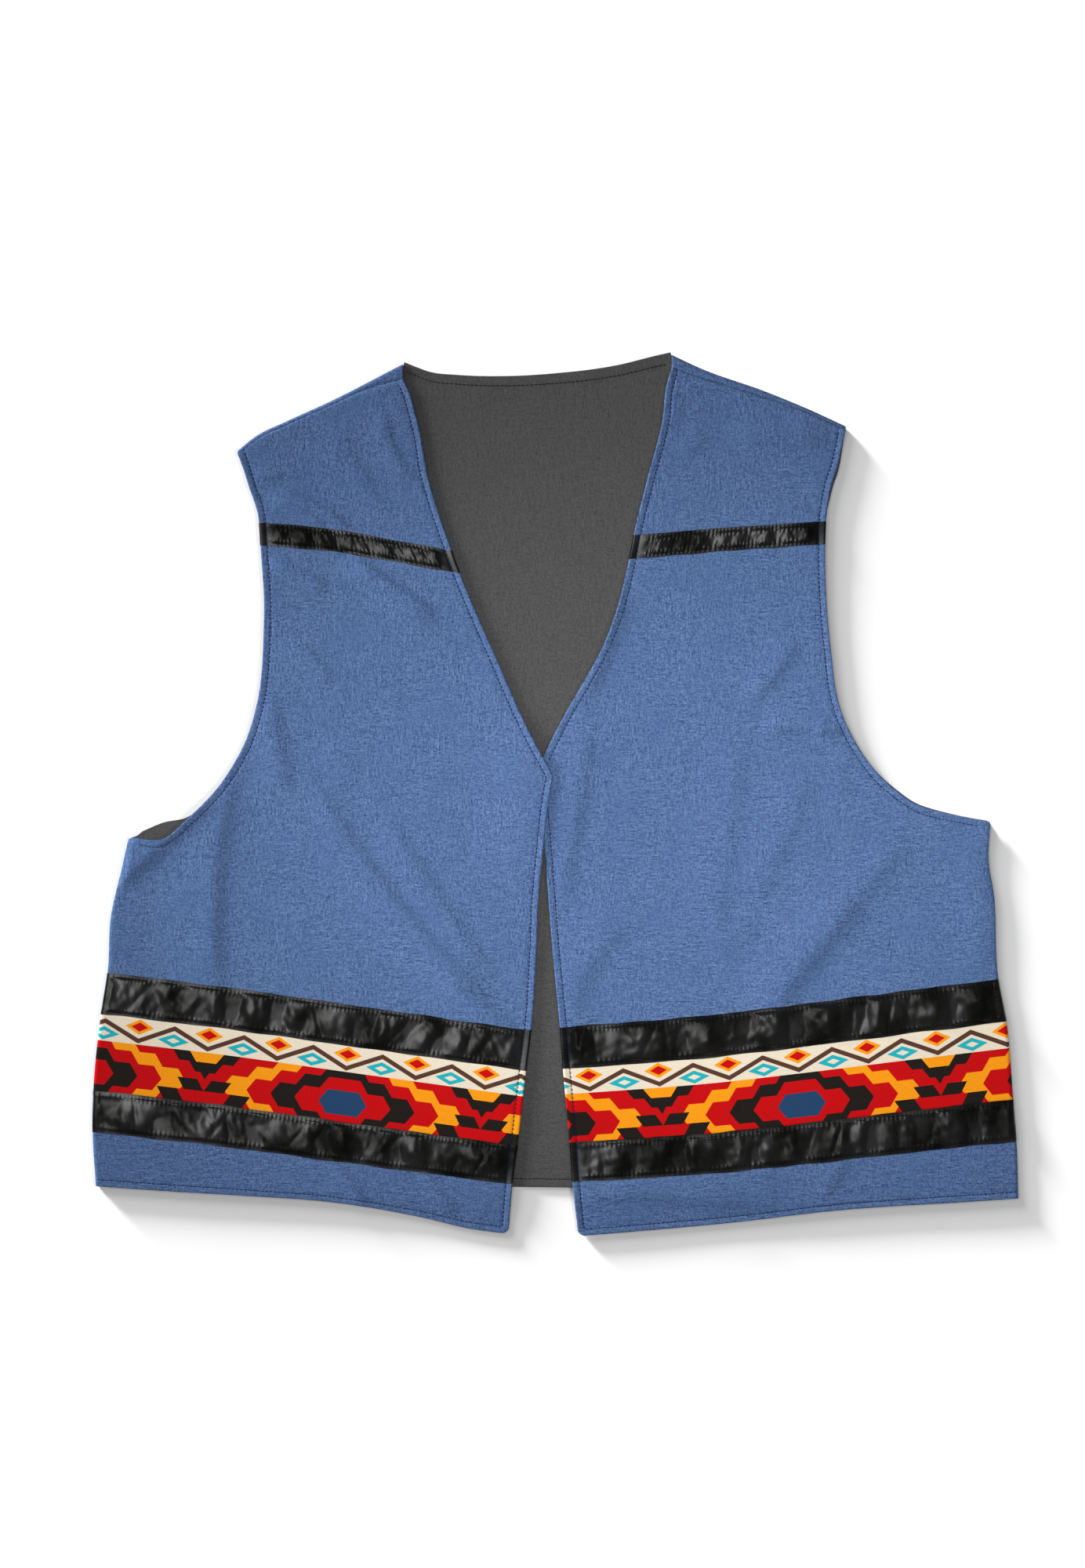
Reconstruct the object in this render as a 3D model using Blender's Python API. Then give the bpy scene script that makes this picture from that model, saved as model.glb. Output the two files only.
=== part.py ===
"""Ribbon vest laid flat on its back, with its two fronts on top.

A lined back rolls up at the side seams and forward over the shoulders to meet two lined fronts.
Black ribbons and printed bands lie across the fronts. All sizes are millimetres until a mesh is
made. +X is the wearer's left, +Y runs from hem to neck, and the vest rests on Z = 0.
"""

from collections import namedtuple
import math

import bpy
import numpy as np

MM = 0.001

# Cloth: one wall thickness, a clear gap wherever pieces are sewn together or lie on each other.
WALL = 1.0
GAP = 0.3
LAYER = WALL + GAP

# Height of the middle of each layer of cloth.
BACK_SHELL_Z = WALL / 2
BACK_LINING_Z = BACK_SHELL_Z + LAYER
FRONT_LINING_Z = BACK_LINING_Z + LAYER
FRONT_SHELL_Z = FRONT_LINING_Z + LAYER
TRIM_Z = FRONT_SHELL_Z + LAYER

# The shell rolls round the side and shoulder folds; the linings stop just inside the roll.
ROLL = (FRONT_SHELL_Z - BACK_SHELL_Z) / 2
ROLL_Z = (FRONT_SHELL_Z + BACK_SHELL_Z) / 2
ROLL_OUT = ROLL + WALL / 2
LINING_INSET = 2.2
ROLL_STEPS_DEG = (30.0, 60.0)
SEAM_DEG = math.degrees(GAP / 2 / (ROLL - WALL / 2))
TRIM_ROLL_DEG = 45.0

# Grid: steps between two sections, steps across a front, and steps across the back neck.
SECTION_STEPS = 2
FRONT_STEPS = 10
NECK_STEPS = 8
NORMAL_STEPS = 60

# Seams hold the cloth flat within this distance of them.
SEAM_HOLD = 30.0

# Sections across each front, from hem to shoulder. outer is the side seam and then the armhole,
# inner is the centre edge and then the neck edge.
Section = namedtuple("Section", "name outer_x outer_y inner_x inner_y")
RIGHT_SECTIONS = (
    Section("hem", -322.0, -273.6, -33.3, -307.2),
    Section("lower_ribbon_foot", -324.2, -236.2, -30.5, -272.5),
    Section("print_foot", -323.5, -206.8, -27.0, -245.3),
    Section("print_top", -318.2, -153.5, -20.9, -192.8),
    Section("upper_ribbon_top", -313.8, -124.6, -17.3, -164.7),
    Section("waist", -311.0, -82.0, -13.8, -113.0),
    Section("side_dip", -303.5, -50.0, -12.6, -82.0),
    Section("underarm", -298.9, -29.4, -11.3, -62.4),
    Section("armhole_floor", -275.8, -31.1, -9.6, -45.9),
    Section("armhole_turn", -257.7, -17.9, -7.7, -26.1),
    Section("armhole_rise", -235.7, 6.3, -5.0, -4.1),
    Section("neck_point", -220.8, 30.0, -1.9, 13.5),
    Section("low_chest", -209.3, 63.0, -16.8, 43.2),
    Section("mid_chest", -204.1, 123.5, -39.9, 92.1),
    Section("chest_ribbon_foot", -206.5, 175.0, -67.1, 155.4),
    Section("chest_ribbon_top", -207.5, 191.2, -72.9, 171.3),
    Section("upper_chest", -214.8, 217.0, -89.9, 224.7),
    Section("collarbone", -218.6, 229.1, -95.7, 257.1),
    Section("neck_turn", -220.8, 235.5, -102.0, 281.3),
    Section("shoulder", -222.5, 241.7, -107.0, 302.2),
)
LEFT_SECTIONS = (
    Section("hem", 324.2, -282.2, 16.2, -308.8),
    Section("lower_ribbon_foot", 322.9, -243.4, 12.1, -271.4),
    Section("print_foot", 320.4, -212.9, 10.2, -243.1),
    Section("print_top", 315.7, -158.5, 5.6, -191.6),
    Section("upper_ribbon_top", 310.2, -128.7, 3.3, -162.3),
    Section("waist", 307.4, -72.0, -1.9, -108.0),
    Section("side_dip", 303.3, -40.4, -5.2, -66.3),
    Section("underarm", 305.0, -18.4, -6.7, -47.0),
    Section("armhole_floor", 279.1, -13.8, -7.8, -33.3),
    Section("armhole_turn", 253.8, -9.6, -8.9, -20.6),
    Section("armhole_rise", 239.0, 3.0, -10.1, -5.8),
    Section("neck_point", 220.8, 21.2, -11.8, 20.0),
    Section("low_chest", 203.8, 49.2, 2.5, 48.7),
    Section("mid_chest", 192.2, 107.0, 30.5, 105.9),
    Section("chest_ribbon_foot", 188.7, 176.0, 50.3, 165.8),
    Section("chest_ribbon_top", 189.2, 192.0, 55.0, 182.3),
    Section("upper_chest", 192.8, 215.9, 64.0, 219.2),
    Section("collarbone", 198.3, 233.5, 75.3, 263.7),
    Section("neck_turn", 201.0, 246.7, 77.4, 284.5),
    Section("shoulder", 203.2, 258.8, 81.7, 309.4),
)
SECTION_NAMES = [section.name for section in RIGHT_SECTIONS]

# Edges that bow away from the straight line between their ends: how far along, and how much up.
Bow = namedtuple("Bow", "along rise")
RIGHT_HEM = (Bow(0.0, 0.0), Bow(0.2, 2.8), Bow(0.35, 5.3), Bow(0.6, 8.0), Bow(0.8, 4.4),
             Bow(0.9, 0.8), Bow(1.0, 0.0))
LEFT_HEM = (Bow(0.0, 0.0), Bow(0.13, 0.8), Bow(0.4, 2.6), Bow(0.65, 0.3), Bow(1.0, 0.0))
BACK_HEM = (Bow(0.0, 0.0), Bow(0.5, 4.4), Bow(1.0, 0.0))
RIGHT_TRIM = (Bow(0.0, 0.4), Bow(0.3, 1.5), Bow(0.6, 0.8), Bow(1.0, 0.0))
LEFT_TRIM = (Bow(0.0, 0.0), Bow(0.25, -1.2), Bow(0.45, -2.4), Bow(0.67, -3.0), Bow(0.88, -1.4),
             Bow(1.0, 0.0))
RIGHT_CHEST = (Bow(0.0, 0.0), Bow(0.15, 1.5), Bow(0.37, 2.9), Bow(0.65, 1.9), Bow(1.0, 0.0))
LEFT_CHEST = (Bow(0.0, 0.0), Bow(0.5, 0.6), Bow(1.0, 0.0))
BOWED_ROWS = {
    "hem": ("hem", "hem", "hem", "lower_ribbon_foot"),
    "trim": ("hem", "lower_ribbon_foot", "upper_ribbon_top", "waist"),
    "chest": ("mid_chest", "chest_ribbon_foot", "chest_ribbon_top", "upper_chest"),
}
BOWED_SHARES = (0.0, 1.0, 1.0, 0.0)
RIGHT_SHOULDER = (Bow(0.0, 0.0), Bow(0.1, 3.3), Bow(0.3, 2.6), Bow(0.55, 0.6), Bow(1.0, 0.0))
LEFT_SHOULDER = (Bow(0.0, 0.0), Bow(0.2, 1.1), Bow(0.45, 1.0), Bow(0.85, -1.7), Bow(1.0, 0.0))
BACK_NECK = (Bow(0.0, 0.0), Bow(0.1, -6.0), Bow(0.2, -8.8), Bow(0.38, -11.0), Bow(0.55, -10.5),
             Bow(0.8, -6.2), Bow(0.95, -0.6), Bow(1.0, 0.0))

# How far the back rolls forward over each shoulder, down the body, before the seam: tip to neck.
DOWN_BODY = np.array([0.0, -1.0])
Turn = namedtuple("Turn", "along width")
RIGHT_TURN = (Turn(0.0, 2.8), Turn(0.5, 2.8), Turn(0.72, 3.5), Turn(1.0, 10.3))
LEFT_TURN = (Turn(0.0, 2.8), Turn(0.28, 2.9), Turn(0.45, 4.3), Turn(0.8, 5.9), Turn(1.0, 8.8))

# How far the back's armhole edge shows past the front's; a minus keeps it hidden under the front.
Peek = namedtuple("Peek", "section right left")
BACK_PEEK = (
    Peek("underarm", 0.0, 0.0),
    Peek("armhole_floor", 10.5, 1.2),
    Peek("armhole_turn", 3.0, 1.0),
    Peek("armhole_rise", -0.8, 1.2),
    Peek("low_chest", -1.0, -0.8),
    Peek("chest_ribbon_top", -1.0, 0.3),
    Peek("upper_chest", -0.6, 1.4),
    Peek("shoulder", 0.0, 0.4),
)

# Broad folds of the fronts: middle, heading of the crest, half length, half width and height.
Fold = namedtuple("Fold", "x y heading_deg length width rise")
RIGHT_FOLDS = (
    Fold(-175.0, 198.0, -18.0, 42.0, 12.0, 1.2),
    Fold(-211.0, -60.0, 82.0, 62.0, 16.0, 1.6),
    Fold(-252.0, -72.0, 66.0, 45.0, 15.0, 1.4),
    Fold(-133.0, -58.0, -48.0, 75.0, 20.0, 1.2),
    Fold(-150.0, -215.0, 84.0, 60.0, 22.0, 1.2),
)
LEFT_FOLDS = (
    Fold(210.0, -107.0, 53.0, 60.0, 16.0, 1.6),
    Fold(170.0, -77.0, 53.0, 60.0, 16.0, 1.3),
    Fold(180.0, 6.0, 90.0, 50.0, 15.0, 1.2),
    Fold(40.0, 8.0, 92.0, 45.0, 16.0, 1.1),
    Fold(176.0, -225.0, 96.0, 60.0, 20.0, 1.4),
)

# The right front's edge lies over the left one near the neck point: the line along which it is
# lifted, by how much, how far that holds and how far it eases out.
LAP_TOP = np.array([-4.0, 16.0])
LAP_FOOT = np.array([-8.0, -28.0])
LAP_RISE = 2 * LAYER
LAP_FULL = 11.0
LAP_REACH = 56.0

# Past the back's hem the front points come down to the surface.
DROP = 1.9 * LAYER
DROP_START = 5.0
DROP_REACH = 24.0

Finish = namedtuple("Finish", "name colour roughness")
CHAMBRAY = Finish("blue_chambray", (0.102, 0.174, 0.352), 0.85)
LINING = Finish("grey_lining", (0.087, 0.087, 0.087), 0.7)
SATIN = Finish("black_satin", (0.009, 0.009, 0.008), 0.35)
PRINT = Finish("printed_cotton", (0.527, 0.01, 0.009), 0.85)


def smooth(knots, values, at):
    """Curve through the values at the knots, one cubic piece a span with shared slopes."""
    knots = np.asarray(knots, float)
    values = np.asarray(values, float)
    spans = np.diff(knots)
    rates = (np.diff(values, axis=0).T / spans).T
    inner = ((rates[:-1].T * spans[1:] + rates[1:].T * spans[:-1]) / (spans[:-1] + spans[1:])).T
    slopes = np.concatenate([rates[:1], inner, rates[-1:]])
    span = np.clip(np.searchsorted(knots, at, side="right") - 1, 0, len(spans) - 1)
    width = spans[span]
    t = (np.asarray(at, float) - knots[span]) / width
    weights = ((1 + 2 * t) * (1 - t) ** 2, t * (1 - t) ** 2 * width,
               t * t * (3 - 2 * t), t * t * (t - 1) * width)
    ends = (values[span], slopes[span], values[span + 1], slopes[span + 1])
    spread = (1,) * (values.ndim - 1)
    return sum(weight.reshape(weight.shape + spread) * end for weight, end in zip(weights, ends))


def column(table, name):
    """One named column of a table as an array."""
    return np.array([getattr(row, name) for row in table])


def bow(table, along):
    """Rise of a bowed edge at the given places along it."""
    return smooth(column(table, "along"), column(table, "rise"), along)


def ease(t):
    """Soft step from 0 to 1."""
    t = np.clip(t, 0.0, 1.0)
    return t * t * (3 - 2 * t)


def inward(path, hand):
    """Unit normals of a path in plan: right of its travel where hand is 1, left where it is -1."""
    along = np.gradient(path, axis=0)
    normal = np.stack([along[:, 1], -along[:, 0]], axis=-1) * hand
    return normal / np.linalg.norm(normal, axis=1, keepdims=True)


def back_hem(x):
    """Height of the back's hem line up the plan: straight between the side seams, with its own bow."""
    first, last = RIGHT_SECTIONS[0], LEFT_SECTIONS[0]
    share = np.clip((x - first.outer_x) / (last.outer_x - first.outer_x), 0.0, 1.0)
    return first.outer_y + share * (last.outer_y - first.outer_y) + bow(BACK_HEM, share)


class Front:
    """Plan and lie of one front, worked out from its sections."""

    def __init__(self, sections, bows, shoulder, turn, folds, lapped):
        self.bows = bows
        self.shoulder = shoulder
        self.turn = turn
        self.folds = folds
        self.lapped = lapped
        self.outer = np.stack([column(sections, "outer_x"), column(sections, "outer_y")], axis=-1)
        self.inner = np.stack([column(sections, "inner_x"), column(sections, "inner_y")], axis=-1)
        steps = [np.linalg.norm(np.diff(edge, axis=0), axis=1) for edge in (self.outer, self.inner)]
        self.knots = np.concatenate([[0.0], np.cumsum((steps[0] + steps[1]) / 2)])
        self.hand = np.sign(self.inner[0, 0] - self.outer[0, 0])

    def at(self, name):
        """Station of a named section."""
        return self.knots[SECTION_NAMES.index(name)]

    def rows(self):
        """Stations of every grid row, the same number of steps between each two sections."""
        places = np.arange(len(self.knots) - 1)[:, None] + np.arange(SECTION_STEPS) / SECTION_STEPS
        places = np.append(places.ravel(), len(self.knots) - 1)
        return np.interp(places, np.arange(len(self.knots)), self.knots)

    def edge(self, points, corner_name, stations):
        """An edge that is smooth up to its corner and smooth again after it."""
        corner = SECTION_NAMES.index(corner_name)
        turn = self.knots[corner]
        below = smooth(self.knots[:corner + 1], points[:corner + 1], np.minimum(stations, turn))
        above = smooth(self.knots[corner:], points[corner:], np.maximum(stations, turn))
        return np.where((stations <= turn)[:, None], below, above)

    def outer_edge(self, stations):
        """Side seam and armhole as seen from above."""
        return self.edge(self.outer, "underarm", stations)

    def edge_inward(self, first, last, stations):
        """Inward normals of the outer edge between two of its stations."""
        dense = np.linspace(first, last, NORMAL_STEPS)
        normals = inward(self.outer_edge(dense), self.hand)
        return np.stack([np.interp(stations, dense, normals[:, axis]) for axis in (0, 1)], axis=-1)

    def side_inward(self, stations):
        """Inward normals of the side seam."""
        return self.edge_inward(0.0, self.at("underarm"), stations)

    def armhole_outward(self, stations):
        """Outward normals of the armhole, which starts just past the underarm corner."""
        return -self.edge_inward(self.at("underarm") + GAP, self.knots[-1], stations)

    def fold_line(self, along):
        """Shoulder fold from the tip to the neck."""
        tip, neck = self.outer[-1], self.inner[-1]
        line = tip + along[:, None] * (neck - tip)
        line[:, 1] += bow(self.shoulder, along)
        return line

    def turn_width(self, along):
        """Width of the back that shows on the front side of the shoulder fold."""
        return smooth(column(self.turn, "along"), column(self.turn, "width"), along)

    def plan(self, along, stations, side_inset, shoulder_inset):
        """Points between the outer and the inner edge, with the bows of hem, trims and shoulder."""
        outer = self.outer_edge(stations)
        on_side = stations <= self.at("underarm")
        outer = outer + np.where(on_side[:, None], side_inset * self.side_inward(stations), 0.0)
        inner = self.edge(self.inner, "neck_point", stations)
        points = outer[:, None] + along[None, :, None] * (inner - outer)[:, None]
        for bowed, names in BOWED_ROWS.items():
            share = np.interp(stations, [self.at(name) for name in names], BOWED_SHARES)
            points[..., 1] += share[:, None] * bow(self.bows[bowed], along)
        top = self.fold_line(along) + shoulder_inset[:, None] * DOWN_BODY
        tip, neck = self.outer[-1], self.inner[-1]
        rise = top - (tip + along[:, None] * (neck - tip))
        start = self.at("neck_turn")
        head = np.clip((stations - start) / (self.knots[-1] - start), 0.0, 1.0)
        return points + head[:, None, None] * rise

    def lie(self, plan):
        """Height of the cloth above its layer: broad folds that end at the seams, and the lap."""
        seam_rows = self.rows()
        seam = np.concatenate([self.outer_edge(seam_rows[seam_rows <= self.at("underarm")]),
                               self.fold_line(np.linspace(0.0, 1.0, FRONT_STEPS + 1))])
        clear = np.linalg.norm(plan[..., None, :] - seam, axis=-1).min(axis=-1)
        height = np.zeros(plan.shape[:-1])
        for fold in self.folds:
            heading = math.radians(fold.heading_deg)
            from_x = plan[..., 0] - fold.x
            from_y = plan[..., 1] - fold.y
            down = from_x * math.cos(heading) + from_y * math.sin(heading)
            across = from_y * math.cos(heading) - from_x * math.sin(heading)
            height += fold.rise * np.exp(-(down / fold.length) ** 4 - (across / fold.width) ** 2)
        height *= ease(clear / SEAM_HOLD)
        if self.lapped:
            lap = LAP_FOOT - LAP_TOP
            share = np.clip((plan - LAP_TOP) @ lap / (lap @ lap), 0.0, 1.0)
            away = np.linalg.norm(plan - LAP_TOP - share[..., None] * lap, axis=-1)
            height += LAP_RISE * (1 - ease((away - LAP_FULL) / (LAP_REACH - LAP_FULL)))
        past_hem = back_hem(plan[..., 0]) - plan[..., 1]
        return height - DROP * ease((past_hem - DROP_START) / DROP_REACH)


def lay(plan, height):
    """Plan points with their heights."""
    return np.concatenate([plan, np.broadcast_to(height, plan.shape[:-1])[..., None]], axis=-1)


def rolled(edge, normals, radius, degrees):
    """Points round a fold: the edge seen from above is the outermost line of the wall."""
    angle = math.radians(degrees)
    plan = edge + normals * (ROLL_OUT - radius * math.cos(angle))
    return lay(plan, ROLL_Z + radius * math.sin(angle))


def add_cloth(name, grid, finish):
    """A wall of cloth on a grid of points; places with no number are left out of the grid."""
    present = ~np.isnan(grid[..., 0])
    index = np.where(present, np.cumsum(present).reshape(present.shape) - 1, -1)
    corners = np.stack([index[:-1, :-1], index[:-1, 1:], index[1:, 1:], index[1:, :-1]], axis=-1)
    faces = corners[(corners >= 0).all(axis=-1)]
    mesh = bpy.data.meshes.new(name)
    mesh.from_pydata((grid[present] * MM).tolist(), [], faces.tolist())
    mesh.shade_smooth()
    material = bpy.data.materials.get(finish.name) or bpy.data.materials.new(finish.name)
    material.use_nodes = True
    surface = material.node_tree.nodes["Principled BSDF"]
    surface.inputs["Base Color"].default_value = (*finish.colour, 1.0)
    surface.inputs["Roughness"].default_value = finish.roughness
    surface.inputs["Metallic"].default_value = 0.0
    mesh.materials.append(material)
    piece = bpy.data.objects.new(name, mesh)
    bpy.context.scene.collection.objects.link(piece)
    wall = piece.modifiers.new("wall", "SOLIDIFY")
    wall.thickness = WALL * MM
    wall.offset = 0.0
    wall.use_even_offset = True
    return piece


def front_shell(name, front):
    """Blue front: flat grid, and a roll down the side to meet the back at the side seam."""
    stations = front.rows()
    along = np.linspace(0.0, 1.0, FRONT_STEPS + 1)
    plan = front.plan(along, stations, ROLL_OUT, front.turn_width(along) + GAP / 2)
    flat = lay(plan, FRONT_SHELL_Z + front.lie(plan))
    side = stations <= front.at("underarm")
    edge, normals = front.outer_edge(stations), front.side_inward(stations)
    turned = [rolled(edge, normals, ROLL, degrees) for degrees in (SEAM_DEG, *ROLL_STEPS_DEG)]
    roll = np.stack(turned, axis=1)
    roll[~side] = np.nan
    add_cloth(name, np.concatenate([roll, flat], axis=1), CHAMBRAY)


def front_lining(name, front):
    """Grey lining of a front, just inside the shell's side and shoulder folds."""
    along = np.linspace(0.0, 1.0, FRONT_STEPS + 1)
    plan = front.plan(along, front.rows(), LINING_INSET, np.full(len(along), LINING_INSET))
    add_cloth(name, lay(plan, FRONT_LINING_Z + front.lie(plan)), LINING)


def trim(name, front, foot, top, finish):
    """Ribbon or band across a front, between two sections, on the front's own points moved out."""
    stations = np.linspace(front.at(foot) + GAP / 2, front.at(top) - GAP / 2, SECTION_STEPS + 1)
    along = np.linspace(0.0, 1.0, FRONT_STEPS + 1)
    plan = front.plan(along, stations, ROLL_OUT, front.turn_width(along))
    flat = lay(plan, TRIM_Z + front.lie(plan))
    grid = flat
    if front.at(top) <= front.at("underarm"):
        edge, normals = front.outer_edge(stations), front.side_inward(stations)
        degrees_list = (TRIM_ROLL_DEG, ROLL_STEPS_DEG[-1])
        turned = [rolled(edge, normals, ROLL + LAYER, degrees) for degrees in degrees_list]
        grid = np.concatenate([np.stack(turned, axis=1), flat], axis=1)
    add_cloth(name, grid, finish)


def back_plan(right, left, side_inset, shoulder_inset):
    """Plan of the back between its two outer edges, with the shoulders and the neck along its top."""
    edges = []
    for front, side in ((right, "right"), (left, "left")):
        stations = front.rows()
        edge = front.outer_edge(stations)
        on_side = (stations <= front.at("underarm"))[:, None]
        peek = smooth([front.at(row.section) for row in BACK_PEEK], column(BACK_PEEK, side),
                      np.maximum(stations, front.at("underarm")))
        peeking = peek[:, None] * front.armhole_outward(stations)
        edges.append(edge + np.where(on_side, side_inset * front.side_inward(stations), peeking))
    along = np.linspace(0.0, 1.0, FRONT_STEPS + 1)
    shoulders = [front.fold_line(along) + shoulder_inset * DOWN_BODY for front in (right, left)]
    across = np.linspace(0.0, 1.0, NECK_STEPS + 1)
    neck = right.inner[-1] + across[:, None] * (left.inner[-1] - right.inner[-1])
    neck[:, 1] += bow(BACK_NECK, across)
    top = np.concatenate([shoulders[0], neck[1:-1], shoulders[1][::-1]])
    share = np.linspace(0.0, 1.0, len(top))
    points = edges[0][:, None] + share[None, :, None] * (edges[1] - edges[0])[:, None]
    rise = top - (right.outer[-1] + share[:, None] * (left.outer[-1] - right.outer[-1]))
    stations = right.rows()
    first, last = right.at("underarm"), right.knots[-1]
    head = np.clip((stations - first) / (last - first), 0.0, 1.0)
    points += head[:, None, None] * rise
    foot = np.clip(1 - stations / right.at("lower_ribbon_foot"), 0.0, 1.0)
    points[..., 1] += foot[:, None] * bow(BACK_HEM, share)
    return points


def back_shell(name, right, left):
    """Blue back: flat on the surface, rolled up at the sides and forward over the shoulders."""
    flat = lay(back_plan(right, left, ROLL_OUT, ROLL_OUT), BACK_SHELL_Z)
    side_degrees = (-SEAM_DEG, *(-step for step in ROLL_STEPS_DEG))
    sides = []
    for front in (right, left):
        stations = front.rows()
        edge, normals = front.outer_edge(stations), front.side_inward(stations)
        roll = np.stack([rolled(edge, normals, ROLL, degrees) for degrees in side_degrees], axis=1)
        roll[stations > front.at("underarm")] = np.nan
        sides.append(roll)
    body = np.concatenate([sides[0], flat, sides[1][:, ::-1]], axis=1)
    over_degrees = [-step for step in reversed(ROLL_STEPS_DEG)] + [0.0, *ROLL_STEPS_DEG, 90.0]
    strips = []
    along = np.linspace(0.0, 1.0, FRONT_STEPS + 1)
    for front in (right, left):
        fold = front.fold_line(along)
        normals = np.broadcast_to(DOWN_BODY, fold.shape)
        turned = [rolled(fold, normals, ROLL, degrees) for degrees in over_degrees]
        seam = fold + normals * (front.turn_width(along) - GAP / 2)[:, None]
        strips.append(np.stack([*turned, lay(seam, FRONT_SHELL_Z)]))
    shape = strips[0].shape[0]
    blank_side = np.full((shape, len(side_degrees), 3), np.nan)
    blank_neck = np.full((shape, NECK_STEPS - 1, 3), np.nan)
    over = [blank_side, strips[0], blank_neck, strips[1][:, ::-1], blank_side]
    shoulders = np.concatenate(over, axis=1)
    add_cloth(name, np.concatenate([body, shoulders], axis=0), CHAMBRAY)


def back_lining(name, right, left):
    """Grey lining of the back."""
    add_cloth(name, lay(back_plan(right, left, LINING_INSET, LINING_INSET), BACK_LINING_Z), LINING)


for old in list(bpy.data.objects):
    bpy.data.objects.remove(old, do_unlink=True)

RIGHT_BOWS = {"hem": RIGHT_HEM, "trim": RIGHT_TRIM, "chest": RIGHT_CHEST}
LEFT_BOWS = {"hem": LEFT_HEM, "trim": LEFT_TRIM, "chest": LEFT_CHEST}
RIGHT = Front(RIGHT_SECTIONS, RIGHT_BOWS, RIGHT_SHOULDER, RIGHT_TURN, RIGHT_FOLDS, lapped=True)
LEFT = Front(LEFT_SECTIONS, LEFT_BOWS, LEFT_SHOULDER, LEFT_TURN, LEFT_FOLDS, lapped=False)

back_shell("back_shell", RIGHT, LEFT)
back_lining("back_lining", RIGHT, LEFT)
for side, front in (("right", RIGHT), ("left", LEFT)):
    front_lining("front_lining_" + side, front)
    front_shell("front_shell_" + side, front)
    trim("chest_ribbon_" + side, front, "chest_ribbon_foot", "chest_ribbon_top", SATIN)
    trim("upper_ribbon_" + side, front, "print_top", "upper_ribbon_top", SATIN)
    trim("print_band_" + side, front, "print_foot", "print_top", PRINT)
    trim("lower_ribbon_" + side, front, "lower_ribbon_foot", "print_foot", SATIN)
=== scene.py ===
from collections import namedtuple
import math

import bpy
import numpy as np
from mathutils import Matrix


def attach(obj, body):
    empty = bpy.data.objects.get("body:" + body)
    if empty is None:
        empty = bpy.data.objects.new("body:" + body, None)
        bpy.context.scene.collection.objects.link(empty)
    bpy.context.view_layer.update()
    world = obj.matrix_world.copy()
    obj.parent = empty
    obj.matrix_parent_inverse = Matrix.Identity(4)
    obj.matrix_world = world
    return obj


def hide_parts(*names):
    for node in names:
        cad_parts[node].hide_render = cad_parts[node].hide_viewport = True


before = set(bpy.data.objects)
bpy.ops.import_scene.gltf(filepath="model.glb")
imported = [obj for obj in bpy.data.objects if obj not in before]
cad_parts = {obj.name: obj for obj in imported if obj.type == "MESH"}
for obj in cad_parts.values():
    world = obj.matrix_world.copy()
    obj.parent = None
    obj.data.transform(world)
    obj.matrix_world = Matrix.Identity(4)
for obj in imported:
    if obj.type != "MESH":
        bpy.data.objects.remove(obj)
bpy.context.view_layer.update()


# Back of the vest: one piece of blue chambray, outside down on the floor. It rolls up at the side
# seams and comes forward over the shoulders, where the fronts are sewn to it. Sizes are millimetres;
# outer is the side seam and then the armhole, inner the centre edge and then the neck edge, as x and y.
MM = 0.001
scene = bpy.context.scene
Section = namedtuple("Section", "name right_outer right_inner left_outer left_inner")
SECTIONS = (
    Section("hem", (-322.0, -273.6), (-33.3, -307.2), (324.2, -282.2), (16.2, -308.8)),
    Section("lower_ribbon_foot", (-324.2, -236.2), (-30.5, -272.5), (322.9, -242.2), (12.1, -270.8)),
    Section("print_foot", (-323.5, -206.8), (-27.0, -245.3), (320.4, -212.9), (10.2, -243.1)),
    Section("print_top", (-318.2, -153.5), (-20.9, -192.8), (315.7, -158.5), (5.6, -191.6)),
    Section("upper_ribbon_top", (-313.8, -124.6), (-17.3, -164.7), (310.2, -128.7), (3.3, -162.3)),
    Section("waist", (-311.0, -82.0), (-13.8, -113.0), (307.4, -72.0), (-1.9, -108.0)),
    Section("side_dip", (-303.5, -50.0), (-12.6, -82.0), (303.3, -40.4), (-5.2, -66.3)),
    Section("underarm", (-298.9, -29.4), (-11.3, -62.4), (305.0, -18.4), (-6.7, -47.0)),
    Section("armhole_floor", (-275.8, -31.1), (-9.6, -45.9), (279.1, -13.8), (-7.8, -33.3)),
    Section("armhole_turn", (-258.0, -16.9), (-7.7, -26.1), (253.8, -6.9), (-8.9, -20.6)),
    Section("armhole_rise", (-235.7, 6.3), (-5.0, -4.1), (239.0, 3.0), (-10.1, -5.8)),
    Section("neck_point", (-220.8, 30.0), (-1.9, 13.5), (220.8, 21.2), (-11.8, 20.0)),
    Section("low_chest", (-209.3, 63.0), (-18.2, 43.8), (203.8, 49.2), (2.5, 48.7)),
    Section("mid_chest", (-204.1, 123.5), (-39.9, 92.1), (192.2, 107.0), (35.3, 108.6)),
    Section("chest_ribbon_foot", (-206.5, 175.0), (-67.1, 155.4), (188.7, 176.0), (51.8, 165.4)),
    Section("chest_ribbon_top", (-207.5, 191.2), (-72.9, 171.3), (189.2, 192.0), (55.0, 182.3)),
    Section("upper_chest", (-214.8, 217.0), (-89.9, 224.7), (192.8, 215.9), (64.0, 219.2)),
    Section("collarbone", (-218.6, 229.1), (-95.7, 257.1), (198.3, 233.5), (75.3, 263.7)),
    Section("neck_turn", (-220.8, 235.5), (-102.0, 281.3), (201.0, 246.7), (77.4, 284.5)),
    Section("shoulder", (-222.5, 241.7), (-107.0, 302.2), (203.2, 258.8), (81.7, 309.4)),
)
SECTION_NAMES = [section.name for section in SECTIONS]

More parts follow.
